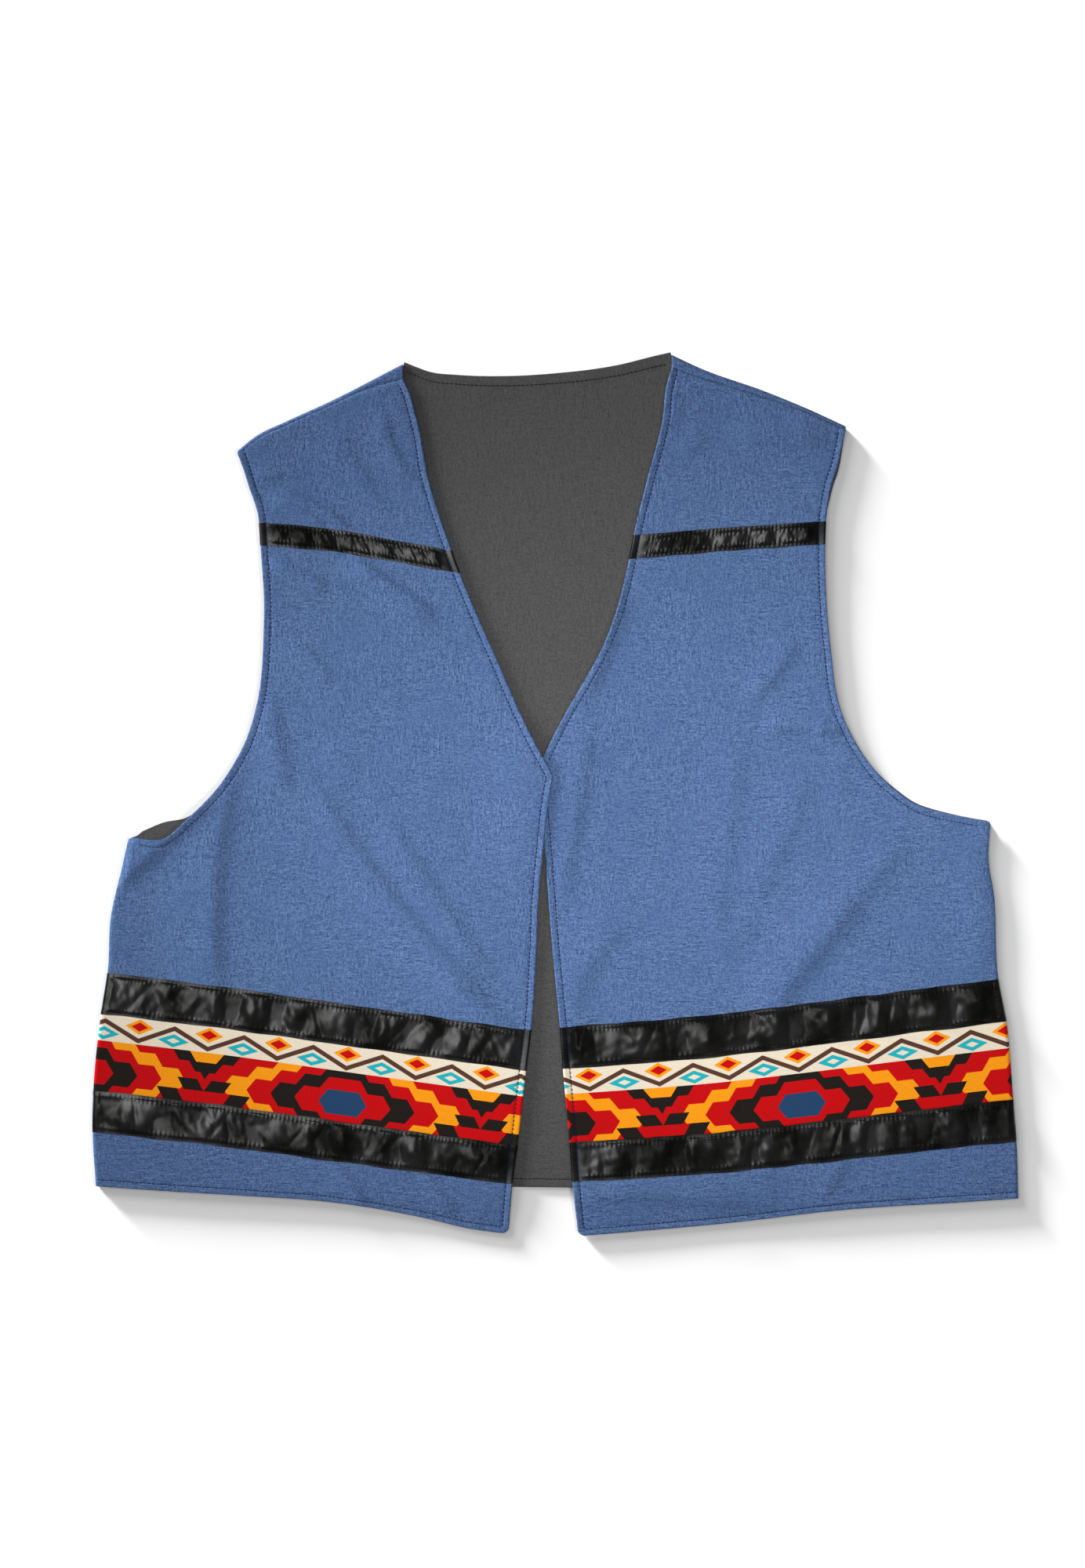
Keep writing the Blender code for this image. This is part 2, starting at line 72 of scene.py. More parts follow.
# Lines that bow away from the straight: how far along from the outer end, and how much up.
Bow = namedtuple("Bow", "along rise")
RIGHT_BOWS = {
    "hem": (Bow(0.0, 0.0), Bow(0.2, 2.8), Bow(0.35, 5.3), Bow(0.6, 8.0), Bow(0.8, 4.4), Bow(0.9, 0.8),
            Bow(1.0, 0.0)),
    "trim": (Bow(0.0, 0.4), Bow(0.3, 1.5), Bow(0.6, 0.8), Bow(1.0, 0.0)),
    "chest": (Bow(0.0, 0.0), Bow(0.15, 1.5), Bow(0.37, 2.9), Bow(0.65, 1.9), Bow(1.0, 0.0)),
}
LEFT_BOWS = {
    "hem": (Bow(0.0, 0.0), Bow(0.13, 0.8), Bow(0.4, 2.6), Bow(0.65, 0.3), Bow(1.0, 0.0)),
    "trim": (Bow(0.0, 0.0), Bow(0.25, -1.2), Bow(0.45, -2.4), Bow(0.67, -3.0), Bow(0.88, -1.4),
             Bow(1.0, 0.0)),
    "chest": (Bow(0.0, 0.0), Bow(0.5, 0.6), Bow(1.0, 0.0)),
}
BACK_HEM = (Bow(0.0, 0.0), Bow(0.5, 4.4), Bow(1.0, 0.0))
RIGHT_SHOULDER = (Bow(0.0, 0.0), Bow(0.1, 3.3), Bow(0.3, 2.6), Bow(0.55, 0.6), Bow(1.0, 0.0))
LEFT_SHOULDER = (Bow(0.0, 0.0), Bow(0.2, 1.1), Bow(0.45, 1.0), Bow(0.85, -1.7), Bow(1.0, -0.7))
BACK_NECK = (Bow(0.0, 2.0), Bow(0.05, -2.3), Bow(0.1, -6.0), Bow(0.2, -8.8), Bow(0.38, -11.0),
             Bow(0.55, -10.5), Bow(0.8, -6.2), Bow(0.95, -0.3), Bow(1.0, 1.4))

# How far the back comes forward over each shoulder before the seam, from the tip to the neck, how far
# its armhole edge shows past the front's, and how far it stands up the body where the armhole gapes.
DOWN_BODY = np.array([0.0, -1.0])
Turn = namedtuple("Turn", "along width")
RIGHT_TURN = (Turn(0.0, 2.8), Turn(0.5, 2.8), Turn(0.72, 3.5), Turn(1.0, 10.3))
LEFT_TURN = (Turn(0.0, 2.8), Turn(0.28, 2.9), Turn(0.45, 4.3), Turn(0.8, 5.9), Turn(1.0, 8.8))
Peek = namedtuple("Peek", "section right left")
BACK_PEEK = (
    Peek("underarm", 0.0, 0.0),
    Peek("armhole_floor", 0.0, 0.6),
    Peek("armhole_turn", -0.4, 1.2),
    Peek("armhole_rise", -0.8, 1.2),
    Peek("low_chest", -1.0, -0.8),
    Peek("chest_ribbon_top", -1.0, 0.3),
    Peek("upper_chest", -0.6, 1.4),
    Peek("shoulder", 0.0, 0.4),
)
BACK_GAPE = (
    Peek("underarm", 0.0, 0.0),
    Peek("armhole_floor", 11.9, 0.0),
    Peek("armhole_turn", 2.3, 0.0),
    Peek("armhole_rise", 0.0, 0.0),
    Peek("neck_point", 0.0, 0.0),
    Peek("shoulder", 0.0, 0.0),
)

# Heights of the middle of the lowest and the highest layer, thickness of the chambray, the rolls round the
# folds and the furrow of the shoulder seam.
BACK_SHELL_Z = 0.3
FRONT_SHELL_Z = 4.4
CHAMBRAY_WALL = 0.5
SEAM_GAP = 0.15
SIDE_ROLL = 1.75
SHOULDER_ROLL = (FRONT_SHELL_Z - BACK_SHELL_Z) / 2
SHOULDER_OUT = SHOULDER_ROLL + CHAMBRAY_WALL / 2
UNDERARM_EASE = 6.0
SEAM_DIP = 0.45
SEAM_DIP_LEAST = 0.2
SEAM_DIP_REACH = 1.1
NARROW_TURN = 2.8
TURN_EASE = 1.5

# Columns within BAND of an edge keep their distance from it: the first is the turned-down lip.
BAND = 10.0
LIP = 0.25
CORNER_ROUND = 2.5
FLAT_ROW = 0.6
EDGE_LOOK = 0.4
ROUND_SHARES = ((-1.0, 0.25), (0.0, 0.5), (1.0, 0.25))
BACK_EDGE_STEPS = np.array([-LIP, 0.0, 0.1, 0.4, 0.9, 1.75, 3.0, 6.0])
BACK_STEP = 5.0
BACK_INSET = 0.8
NECK_START = 0.006


def smooth(knots, values, at):
    """Curve through the values at the knots: one cubic a span, with slopes shared between spans."""
    knots = np.asarray(knots, float)
    values = np.asarray(values, float)
    spans = np.diff(knots)
    rates = (np.diff(values, axis=0).T / spans).T
    inner = ((rates[:-1].T * spans[1:] + rates[1:].T * spans[:-1]) / (spans[:-1] + spans[1:])).T
    slopes = np.concatenate([rates[:1], inner, rates[-1:]])
    span = np.clip(np.searchsorted(knots, at, side="right") - 1, 0, len(spans) - 1)
    width = spans[span]
    t = (np.asarray(at, float) - knots[span]) / width
    weights = ((1 + 2 * t) * (1 - t) ** 2, t * (1 - t) ** 2 * width,
               t * t * (3 - 2 * t), t * t * (t - 1) * width)
    ends = (values[span], slopes[span], values[span + 1], slopes[span + 1])
    spread = (1,) * (values.ndim - 1)
    return sum(weight.reshape(weight.shape + spread) * end for weight, end in zip(weights, ends))


def column(table, name):
    """One named column of a table as an array."""
    return np.array([getattr(row, name) for row in table])


def bow(table, along):
    """Rise of a bowed line at the given shares along it."""
    return smooth(column(table, "along"), column(table, "rise"), along)


def ease(t):
    """Soft step from 0 to 1: 3t squared less 2t cubed."""
    t = np.clip(t, 0.0, 1.0)
    return t * t * (3 - 2 * t)


def fall(distance, radius):
    """Drop of a cloth edge that turns down a quarter circle; a minus distance is further down its lip."""
    inside = np.clip(radius - distance, 0.0, radius)
    return np.where(distance < 0, radius - distance, radius - np.sqrt(radius ** 2 - inside ** 2))


def unit(vectors):
    """The vectors, each divided by its length."""
    return vectors / np.linalg.norm(vectors, axis=-1, keepdims=True)


class Front:
    """Plan of one front. Its edges run through the sections' points, smooth but for one corner, and
    a second pair of lines runs BAND inside them. A station is the mean length of both edges so far."""

    def __init__(self, side, bows, shoulder, turn):
        self.side = side
        self.bows = bows
        self.shoulder = shoulder
        self.turn = turn
        self.outer = column(SECTIONS, side + "_outer")
        self.inner = column(SECTIONS, side + "_inner")
        steps = [np.linalg.norm(np.diff(edge, axis=0), axis=1) for edge in (self.outer, self.inner)]
        self.knots = np.concatenate([[0.0], np.cumsum((steps[0] + steps[1]) / 2)])
        self.hand = np.sign(self.inner[0, 0] - self.outer[0, 0])
        self.outer_in = self.inset(self.outer, self.inner, "underarm", self.hand)
        self.inner_in = self.inset(self.inner, self.outer, "neck_point", -self.hand)

    def at(self, name):
        """Station of a named section."""
        return self.knots[SECTION_NAMES.index(name)]

    def stations(self, places):
        """Stations at places counted in sections from the hem."""
        return np.interp(places, np.arange(len(self.knots)), self.knots)

    def past_side(self, stations, lead=0.0):
        """Soft step along the outer edge, 0 on the side seam and 1 on the armhole, begun a lead early."""
        return ease((stations - self.at("underarm") + lead) / UNDERARM_EASE)

    def peek(self, table, stations):
        """This front's column of a table of Peek rows, at the stations."""
        return smooth([self.at(row.section) for row in table], column(table, self.side), stations)

    def broken(self, points, corner_name, stations):
        """An edge that is smooth up to its corner and smooth again after it."""
        corner = SECTION_NAMES.index(corner_name)
        turn = self.knots[corner]
        below = smooth(self.knots[:corner + 1], points[:corner + 1], np.minimum(stations, turn))
        above = smooth(self.knots[corner:], points[corner:], np.maximum(stations, turn))
        return np.where((stations <= turn)[:, None], below, above)

    def inset(self, points, facing, corner_name, hand):
        """The edge's points moved BAND inward: along the row, or square to the edge where the row runs
        too flat to it, or along the mitre at its corner."""
        here = self.broken(points, corner_name, self.knots)
        before = here - self.broken(points, corner_name, np.maximum(self.knots - EDGE_LOOK, 0.0))
        after = self.broken(points, corner_name, np.minimum(self.knots + EDGE_LOOK, self.knots[-1])) - here
        before[0], after[-1] = after[0], before[-1]
        square = [hand * unit(np.stack([way[:, 1], -way[:, 0]], axis=-1)) for way in (before, after)]
        mitre = (square[0] + square[1]) / (1 + (square[0] * square[1]).sum(axis=1, keepdims=True))
        row = unit(facing - points)
        lean = (row * unit(mitre)).sum(axis=1, keepdims=True)
        corner = np.array([name == corner_name for name in SECTION_NAMES])[:, None]
        return points + BAND * np.where((lean < FLAT_ROW) | corner, mitre, row / np.maximum(lean, FLAT_ROW))

    def line(self, points, corner_name, stations):
        """An edge with its corner rounded: near it, the mean of the line a little before and after."""
        reach = CORNER_ROUND * np.exp(-((stations - self.at(corner_name)) / (2 * CORNER_ROUND)) ** 2)
        return sum(share * self.broken(points, corner_name, stations + shift * reach)
                   for shift, share in ROUND_SHARES)

    def outer_lines(self, stations):
        """Side seam and armhole, and the line BAND inside them."""
        return [self.line(points, "underarm", stations) for points in (self.outer, self.outer_in)]

    def inner_lines(self, stations):
        """Centre and neck edge, and the line BAND inside them."""
        return [self.line(points, "neck_point", stations) for points in (self.inner, self.inner_in)]

    def fold_line(self, along):
        """Shoulder fold from the tip to the neck."""
        tip, neck = self.outer[-1], self.inner[-1]
        fold = tip + along[..., None] * (neck - tip)
        fold[..., 1] += bow(self.shoulder, along)
        return fold

    def turn_width(self, along):
        """Width of the back that shows in front of the shoulder fold."""
        return smooth(column(self.turn, "along"), column(self.turn, "width"), along)

    def seam_dip(self, along):
        """Depth of the shoulder seam's furrow, which flattens out where the fold comes close to it."""
        clear = ease((self.turn_width(along) - NARROW_TURN) / TURN_EASE)
        return SEAM_DIP * (SEAM_DIP_LEAST + (1 - SEAM_DIP_LEAST) * clear)


RIGHT = Front("right", RIGHT_BOWS, RIGHT_SHOULDER, RIGHT_TURN)
LEFT = Front("left", LEFT_BOWS, LEFT_SHOULDER, LEFT_TURN)
FRONTS = (RIGHT, LEFT)


def across_panel(first, first_in, last_in, last, near_first, middle, near_last):
    """Rows of points from one edge to the other: at the near distances inside the first edge, at the
    middle shares between the two inset lines, and at the near distances inside the last edge."""
    lead_at, tail_at = (np.clip(near, 0.0, None)[:, None] / BAND for near in (near_first, near_last))
    lead = first[:, None] + lead_at * (first_in - first)[:, None]
    body = first_in[:, None] + middle[None, :, None] * (last_in - first_in)[:, None]
    tail = last[:, None] + tail_at * (last_in - last)[:, None]
    return np.concatenate([lead, body, tail], axis=1)


def shoulder_places(near, step):
    """Places along a shoulder from tip to neck in shares, close together at both ends."""
    length = np.linalg.norm(RIGHT.inner[-1] - RIGHT.outer[-1])
    body = np.linspace(BAND, length - BAND, int((length - 2 * BAND) / step) + 1)
    return np.clip(np.concatenate([near, body, length - near[::-1]]), 0.0, length) / length


def back_plan(places, near, step, side_inset, edge_inset, shoulder_inset, neck_inset):
    """Plan of the back: rows from the hem up, columns from the right edge to the left one, whose top
    ends follow the right shoulder, the neck and the left shoulder. The rows above the underarm lean
    over to those top ends, each by its share of the way up."""
    edges = []
    for front in FRONTS:
        stations = front.stations(places)
        edge, edge_in = front.outer_lines(stations)
        inward = (edge_in - edge) / BAND
        peek, gape = (front.peek(table, np.maximum(stations, front.at("underarm")))
                      for table in (BACK_PEEK, BACK_GAPE))
        past_side = front.past_side(stations)
        shift = side_inset * (1 - past_side) + (edge_inset - peek) * past_side
        move = shift[:, None] * inward - (gape * past_side)[:, None] * DOWN_BODY
        edges.append((edge + move, edge_in + move))
    along = shoulder_places(near, step)
    shoulders = [front.fold_line(along) + shoulder_inset * DOWN_BODY for front in FRONTS]
    neck_length = np.linalg.norm(LEFT.inner[-1] - RIGHT.inner[-1])
    across = np.linspace(0.0, 1.0, int(neck_length / step) + 2)[1:-1]
    across = np.concatenate([[NECK_START], across, [1 - NECK_START]])
    neck = RIGHT.inner[-1] + across[:, None] * (LEFT.inner[-1] - RIGHT.inner[-1])
    neck[:, 1] += bow(BACK_NECK, across) - neck_inset
    top = np.concatenate([shoulders[0], neck, shoulders[1][::-1]])
    inside = top[len(near):-len(near), 0]
    middle = (inside - top[0, 0] - BAND) / (top[-1, 0] - top[0, 0] - 2 * BAND)
    (first, first_in), (last, last_in) = edges
    points = across_panel(first, first_in, last_in, last, near, middle, near[::-1])
    rows = RIGHT.stations(places)
    head = (rows - RIGHT.at("underarm")) / (RIGHT.knots[-1] - RIGHT.at("underarm"))
    points += np.clip(head, 0.0, 1.0)[:, None, None] * (top - points[-1])
    foot = np.clip(1 - rows / RIGHT.at("lower_ribbon_foot"), 0.0, 1.0)
    share = (points[..., 0] - points[:, :1, 0]) / (points[:, -1:, 0] - points[:, :1, 0])
    points[..., 1] += foot[:, None] * bow(BACK_HEM, share)
    return points, along, across


def lay(plan, height):
    """Plan points with their heights."""
    return np.concatenate([plan, np.broadcast_to(height, plan.shape[:-1])[..., None]], axis=-1)


def section_places(step):
    """Places from hem to shoulder, counted in sections, about a step apart."""
    steps = np.maximum(np.round(np.diff(RIGHT.knots) / step), 1).astype(int)
    starts = [place + np.arange(count) / count for place, count in enumerate(steps)]
    return np.append(np.concatenate(starts), len(steps))


def add_mesh(name, points, faces, material):
    """A smooth object from points in millimetres and the numbers of each face's points."""
    mesh = bpy.data.meshes.new(name)
    mesh.from_pydata((points * MM).tolist(), [], faces)
    mesh.shade_smooth()
    mesh.materials.append(material)
    piece = bpy.data.objects.new(name, mesh)
    scene.collection.objects.link(piece)
    return piece


def add_sheet(name, grid, wall, cloth, texture=None):
    """Closed thin cloth on a grid of points: a face between each four neighbours that all exist, and a
    second face one wall away. texture gives each point's place on the cloth for the UV map."""
    present = ~np.isnan(grid[..., 0])
    index = np.where(present, np.cumsum(present).reshape(present.shape) - 1, -1)
    corners = np.stack([index[:-1, :-1], index[:-1, 1:], index[1:, 1:], index[1:, :-1]], axis=-1)
    faces = corners[(corners >= 0).all(axis=-1)]
    points = grid[present]
    middle_face = points[faces[len(faces) // 2]]
    if np.cross(middle_face[1] - middle_face[0], middle_face[3] - middle_face[0])[2] < 0:
        faces = faces[:, ::-1]
    piece = add_mesh(name, points, faces.tolist(), cloth.material)
    if texture is not None:
        layer = piece.data.uv_layers.new(name="cloth")
        layer.data.foreach_set("uv", texture[present][faces.ravel()].ravel().astype(np.float32))
    thick = piece.modifiers.new("wall", "SOLIDIFY")
    thick.thickness = wall * MM
    thick.offset = 0.0
    return piece


def dress(piece, node=None):
    """Fixes a piece to the part's one body, and hides the solid that it replaces, if one is given."""
    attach(piece, "root")
    if node is not None:
        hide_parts(node)


def calc(tree, operation, *values):
    """A math node; each value is a number or the output of another node."""
    node = tree.nodes.new("ShaderNodeMath")
    node.operation = operation
    for socket, value in zip(node.inputs, values):
        if isinstance(value, (int, float)):
            socket.default_value = value
        else:
            tree.links.new(value, socket)
    return node.outputs[0]


def vector(tree, operation, place, amounts):
    """A vector math node on a place, with a fixed amount along each axis."""
    node = tree.nodes.new("ShaderNodeVectorMath")
    node.operation = operation
    node.inputs[1].default_value = amounts
    tree.links.new(place, node.inputs[0])
    return node.outputs[0]


def noise(tree, place, stretch_x, stretch_y, detail):
    """Noise whose spots measure one over the stretch along each axis."""
    spots = tree.nodes.new("ShaderNodeTexNoise")
    spots.inputs["Scale"].default_value = 1.0
    spots.inputs["Detail"].default_value = detail
    tree.links.new(vector(tree, "MULTIPLY", place, (stretch_x, stretch_y, 0.0)), spots.inputs["Vector"])
    return spots.outputs["Fac"]


def broken_lines(tree, beside, wander, shown):
    """Threads as fine lines LINE apart that wander and come and go: a sine across them times noise."""
    sway = calc(tree, "MULTIPLY", wander, LINE_SWAY)
    angle = calc(tree, "MULTIPLY_ADD", beside, 2 * math.pi / LINE, sway)
    return calc(tree, "MULTIPLY", calc(tree, "SINE", angle), calc(tree, "SUBTRACT", shown, 0.5))


def weave_group():
    """Plain weave from a step away: fine broken lines across and along the cloth, each set showing more
    in some places than in others, and a grain where they cross. Gives the tone, about 0 to 1, and a
    slow drift of the dye."""
    tree = bpy.data.node_groups.new("plain_weave", "ShaderNodeTree")
    tree.interface.new_socket("Place", in_out="INPUT", socket_type="NodeSocketVector")
    tree.interface.new_socket("Tone", in_out="OUTPUT", socket_type="NodeSocketFloat")
    tree.interface.new_socket("Drift", in_out="OUTPUT", socket_type="NodeSocketFloat")
    inlet = tree.nodes.new("NodeGroupInput")
    outlet = tree.nodes.new("NodeGroupOutput")
    place = vector(tree, "MULTIPLY", inlet.outputs["Place"], (1 / MM, 1 / MM, 1 / MM))
    axes = tree.nodes.new("ShaderNodeSeparateXYZ")
    tree.links.new(place, axes.inputs[0])
    x, y = axes.outputs["X"], axes.outputs["Y"]
    wander = noise(tree, place, WANDER_SPOTS, WANDER_SPOTS, 1.0)
    across = broken_lines(tree, y, wander, noise(tree, place, LONG_SPOTS, SHORT_SPOTS, 1.0))
    along = broken_lines(tree, x, wander, noise(tree, place, SHORT_SPOTS, LONG_SPOTS, 1.0))
    patches = calc(tree, "SUBTRACT", noise(tree, place, PATCH_SPOTS, PATCH_SPOTS, 1.0), 0.5)
    trend = calc(tree, "MULTIPLY_ADD", x, TREND_X, 0.5)
    trend = calc(tree, "MULTIPLY_ADD", y, TREND_Y, trend)
    share = calc(tree, "MULTIPLY_ADD", patches, 2.0, trend)
    share = calc(tree, "MINIMUM", calc(tree, "MAXIMUM", share, LEAST_SHARE), 1 - LEAST_SHARE)
    lines = calc(tree, "MULTIPLY_ADD", calc(tree, "SUBTRACT", across, along), share, along)
    grain = tree.nodes.new("ShaderNodeTexWhiteNoise")
    tree.links.new(vector(tree, "SNAP", place, (GRAIN, GRAIN, ONE_LAYER)), grain.inputs["Vector"])
    grain_tone = calc(tree, "MULTIPLY_ADD", grain.outputs["Value"], GRAIN_TONE, LOWEST_TONE)
    tree.links.new(calc(tree, "MULTIPLY_ADD", lines, LINE_TONE, grain_tone), outlet.inputs["Tone"])
    tree.links.new(noise(tree, place, DYE_SPOTS, DYE_SPOTS, 2.0), outlet.inputs["Drift"])
    return tree


def stretch_range(tree, value, low, high, first, last):
    """The value's range from low to high set out from first to last."""
    node = tree.nodes.new("ShaderNodeMapRange")
    for name, amount in (("From Min", low), ("From Max", high), ("To Min", first), ("To Max", last)):
        node.inputs[name].default_value = amount
    tree.links.new(value, node.inputs["Value"])
    return node.outputs["Result"]


def blend_colours(tree, share, first, last):
    """Mix of two colours, each given in itself or by another node."""
    node = tree.nodes.new("ShaderNodeMix")
    node.data_type = "RGBA"
    tree.links.new(share, node.inputs["Factor"])
    for name, colour in (("A", first), ("B", last)):
        socket = next(socket for socket in node.inputs if socket.name == name and socket.type == "RGBA")
        if isinstance(colour, tuple):
            socket.default_value = (*colour, 1.0)
        else:
            tree.links.new(colour, socket)
    return next(socket for socket in node.outputs if socket.type == "RGBA")


def new_shader(name, roughness, specular):
    """A new material with its node tree and its Principled shader."""
    material = bpy.data.materials.new(name)
    material.use_nodes = True
    surface = material.node_tree.nodes["Principled BSDF"]
    surface.inputs["Roughness"].default_value = roughness
    surface.inputs["Specular IOR Level"].default_value = specular
    return material, material.node_tree, surface


Cloth = namedtuple("Cloth", "material tree surface place tone drift")


def new_cloth(name, roughness, specular):
    """A cloth material, with the place on the object and the tone and drift of its weave there."""
    material, tree, surface = new_shader(name, roughness, specular)
    place = tree.nodes.new("ShaderNodeTexCoord").outputs["Object"]
    weave = tree.nodes.new("ShaderNodeGroup")
    weave.node_tree = plain_weave
    tree.links.new(place, weave.inputs["Place"])
    return Cloth(material, tree, surface, place, weave.outputs["Tone"], weave.outputs["Drift"])


def add_relief(cloth, height, distance):
    """Bump of a fine height on the shader."""
    bump = cloth.tree.nodes.new("ShaderNodeBump")
    bump.inputs["Strength"].default_value = 1.0
    bump.inputs["Distance"].default_value = distance
    cloth.tree.links.new(height, bump.inputs["Height"])
    cloth.tree.links.new(bump.outputs["Normal"], cloth.surface.inputs["Normal"])


LINE = 2.6
LINE_SWAY = 4.0
LINE_TONE = 1.2
GRAIN = LINE / 3
ONE_LAYER = 1e6
GRAIN_TONE = 0.37
LOWEST_TONE = 0.315
WANDER_SPOTS = 0.02
LONG_SPOTS = 0.14
SHORT_SPOTS = 0.30
PATCH_SPOTS = 0.025
DYE_SPOTS = 0.03
TREND_X = 0.0005
TREND_Y = -0.0009
LEAST_SHARE = 0.2
CHAMBRAY_DARK = (0.020, 0.044, 0.125)
CHAMBRAY_LIGHT = (0.103, 0.167, 0.315)
CHAMBRAY_DRIFT = (0.050, 0.099, 0.215)
CHAMBRAY_RELIEF = 0.00003
plain_weave = weave_group()
chambray = new_cloth("blue_chambray", 0.85, 0.25)
tree = chambray.tree
share = stretch_range(tree, chambray.tone, 0.2, 0.8, 0.0, 1.0)
threads = blend_colours(tree, share, CHAMBRAY_DARK, CHAMBRAY_LIGHT)
share = stretch_range(tree, chambray.drift, 0.45, 0.8, 0.0, 0.5)
dyed = blend_colours(tree, share, threads, CHAMBRAY_DRIFT)
tree.links.new(dyed, chambray.surface.inputs["Base Color"])
add_relief(chambray, chambray.tone, CHAMBRAY_RELIEF)

places = section_places(BACK_STEP)
plan, along, across = back_plan(places, BACK_EDGE_STEPS, BACK_STEP, 0.0, BACK_INSET, SHOULDER_OUT, BACK_INSET)
from_edge = np.full(plan.shape[1], BAND)
from_edge[:len(BACK_EDGE_STEPS)] = BACK_EDGE_STEPS
from_edge[-len(BACK_EDGE_STEPS):] = BACK_EDGE_STEPS[::-1]
on_side = 1 - RIGHT.past_side(RIGHT.stations(places), UNDERARM_EASE)
body = lay(plan, BACK_SHELL_Z + on_side[:, None] * fall(from_edge, SIDE_ROLL))

# Over each shoulder the cloth rolls half round, then lies flat up to the seam.
ROLL_DEG = np.linspace(-80.0, 90.0, 14)
FLAT_SHARES = np.array([0.2, 0.45, 0.65, 0.8, 0.9, 0.96, 1.0])
LEAST_FLAT = 0.3
NECK_ROLL = 0.7
strips = []
for front in FRONTS:
    fold = front.fold_line(along)
    turned = np.radians(ROLL_DEG)[:, None]
    inward = SHOULDER_OUT - SHOULDER_ROLL * np.cos(turned)
    roll = lay(fold + inward[..., None] * DOWN_BODY,
               BACK_SHELL_Z + SHOULDER_ROLL * (1 + np.sin(turned)))
    width = np.maximum(front.turn_width(along) - SEAM_GAP / 2 - SHOULDER_OUT, LEAST_FLAT)
    to_seam = (1 - FLAT_SHARES)[:, None] * width
    flat = lay(fold + (SHOULDER_OUT + FLAT_SHARES[:, None] * width)[..., None] * DOWN_BODY,
               FRONT_SHELL_Z - front.seam_dip(along) * np.exp(-(to_seam / SEAM_DIP_REACH) ** 2))
    strip = np.concatenate([roll, flat])
    length = np.linalg.norm(front.inner[-1] - front.outer[-1])
    from_end = np.minimum(along, 1 - along) * length
    upper = np.concatenate([np.clip(np.sin(turned), 0.0, 1.0), np.ones((len(FLAT_SHARES), 1))])
    strip[..., 2] -= upper * fall(from_end, NECK_ROLL)
    strips.append(strip)
no_neck = np.full((len(strips[0]), len(across), 3), np.nan)
over = np.concatenate([strips[0], no_neck, strips[1][:, ::-1]], axis=1)
back_cloth = add_sheet("back_cloth", np.concatenate([body, over]), CHAMBRAY_WALL, chambray)
dress(back_cloth, "back_shell")


# Back lining: grey lining cloth on the chambray, stopping just inside the side and shoulder folds. At
# the neck, the armholes and the hem it comes to the edge and turns down over it.
BACK_LINING_Z = 1.6
LINING_WALL = 0.3
LINING_INSET = 2.2
LINING_ROLL = 0.6
LINING_STEP = 4.0
LINING_EDGE_STEPS = np.array([-0.5, 0.0, 0.08, 0.3, 0.6, 1.2, 2.5, 4.0, 5.0, 5.6, 6.0, 6.4, 7.0, 8.2])
HEM_STITCH = 6.0
NECK_STITCH = 8.2
STITCH_GROOVE = 0.26
GROOVE_REACH = 0.8
BACK_RIPPLE = 0.12
Ripple = namedtuple("Ripple", "reach_x reach_y phase")
RIPPLES = (Ripple(23.0, 41.0, 0.7), Ripple(37.0, -29.0, 2.1), Ripple(-83.0, 19.0, 0.0))

LINING_DARK = (0.037, 0.037, 0.037)
LINING_LIGHT = (0.076, 0.075, 0.075)
LINING_RELIEF = 0.0005
CRINKLES_X = 0.04
CRINKLES_Y = 0.11
LINING_THREADS = 0.1
lining = new_cloth("grey_lining", 0.7, 0.25)
tree = lining.tree
share = stretch_range(tree, lining.tone, 0.15, 0.85, 0.0, 1.0)
tree.links.new(blend_colours(tree, share, LINING_DARK, LINING_LIGHT), lining.surface.inputs["Base Color"])
crinkles = noise(tree, lining.place, CRINKLES_X / MM, CRINKLES_Y / MM, 2.0)
add_relief(lining, calc(tree, "MULTIPLY_ADD", lining.tone, LINING_THREADS, crinkles), LINING_RELIEF)


def groove(distance, stitch):
    """Furrow that a row of stitches draws into the cloth at its distance from the edge."""
    return STITCH_GROOVE * np.exp(-((distance - stitch) / GROOVE_REACH) ** 2)


def edge_rows(near, step):
    """Places from hem to shoulder in sections: at the near distances inside the hem and below the top,
    and about a step apart between them. Also the distance of each row from the hem and the top."""
    stations = np.arange(BAND, RIGHT.knots[-1] - BAND, step)
    rows = np.concatenate([near, stations, RIGHT.knots[-1] - near[::-1]])
    places = np.interp(rows, RIGHT.knots, np.arange(len(RIGHT.knots)))
    from_hem = np.where(rows < BAND, rows, BAND)
    from_top = np.where(rows > RIGHT.knots[-1] - BAND, RIGHT.knots[-1] - rows, BAND)
    return places, from_hem, from_top


def ripple(plan):
    """Gentle unevenness of laid cloth: the mean of long waves that cross each other."""
    waves = [np.sin(plan[..., 0] / wave.reach_x + plan[..., 1] / wave.reach_y + wave.phase)
             for wave in RIPPLES]
    return sum(waves) / len(RIPPLES)


places, from_hem, from_top = edge_rows(LINING_EDGE_STEPS, LINING_STEP)
plan, along, across = back_plan(places, BACK_EDGE_STEPS, LINING_STEP, LINING_INSET, 0.0, LINING_INSET, 0.0)
neck = slice(len(along), len(along) + len(across))
at_neck = np.zeros(plan.shape[1])
at_neck[neck] = 1.0
height = BACK_LINING_Z + BACK_RIPPLE * ripple(plan)
height = height - np.maximum(fall(from_hem, LINING_ROLL)[:, None],
                             fall(from_top, LINING_ROLL)[:, None] * at_neck)
height = height - groove(from_hem, HEM_STITCH)[:, None] - groove(from_top, NECK_STITCH)[:, None] * at_neck
grid = lay(plan, height)
lining_neck_row = grid[np.abs(from_top - NECK_STITCH).argmin(), neck]
lining_hem_row = grid[np.abs(from_hem - HEM_STITCH).argmin()]
back_lining = add_sheet("back_lining_cloth", grid, LINING_WALL, lining)
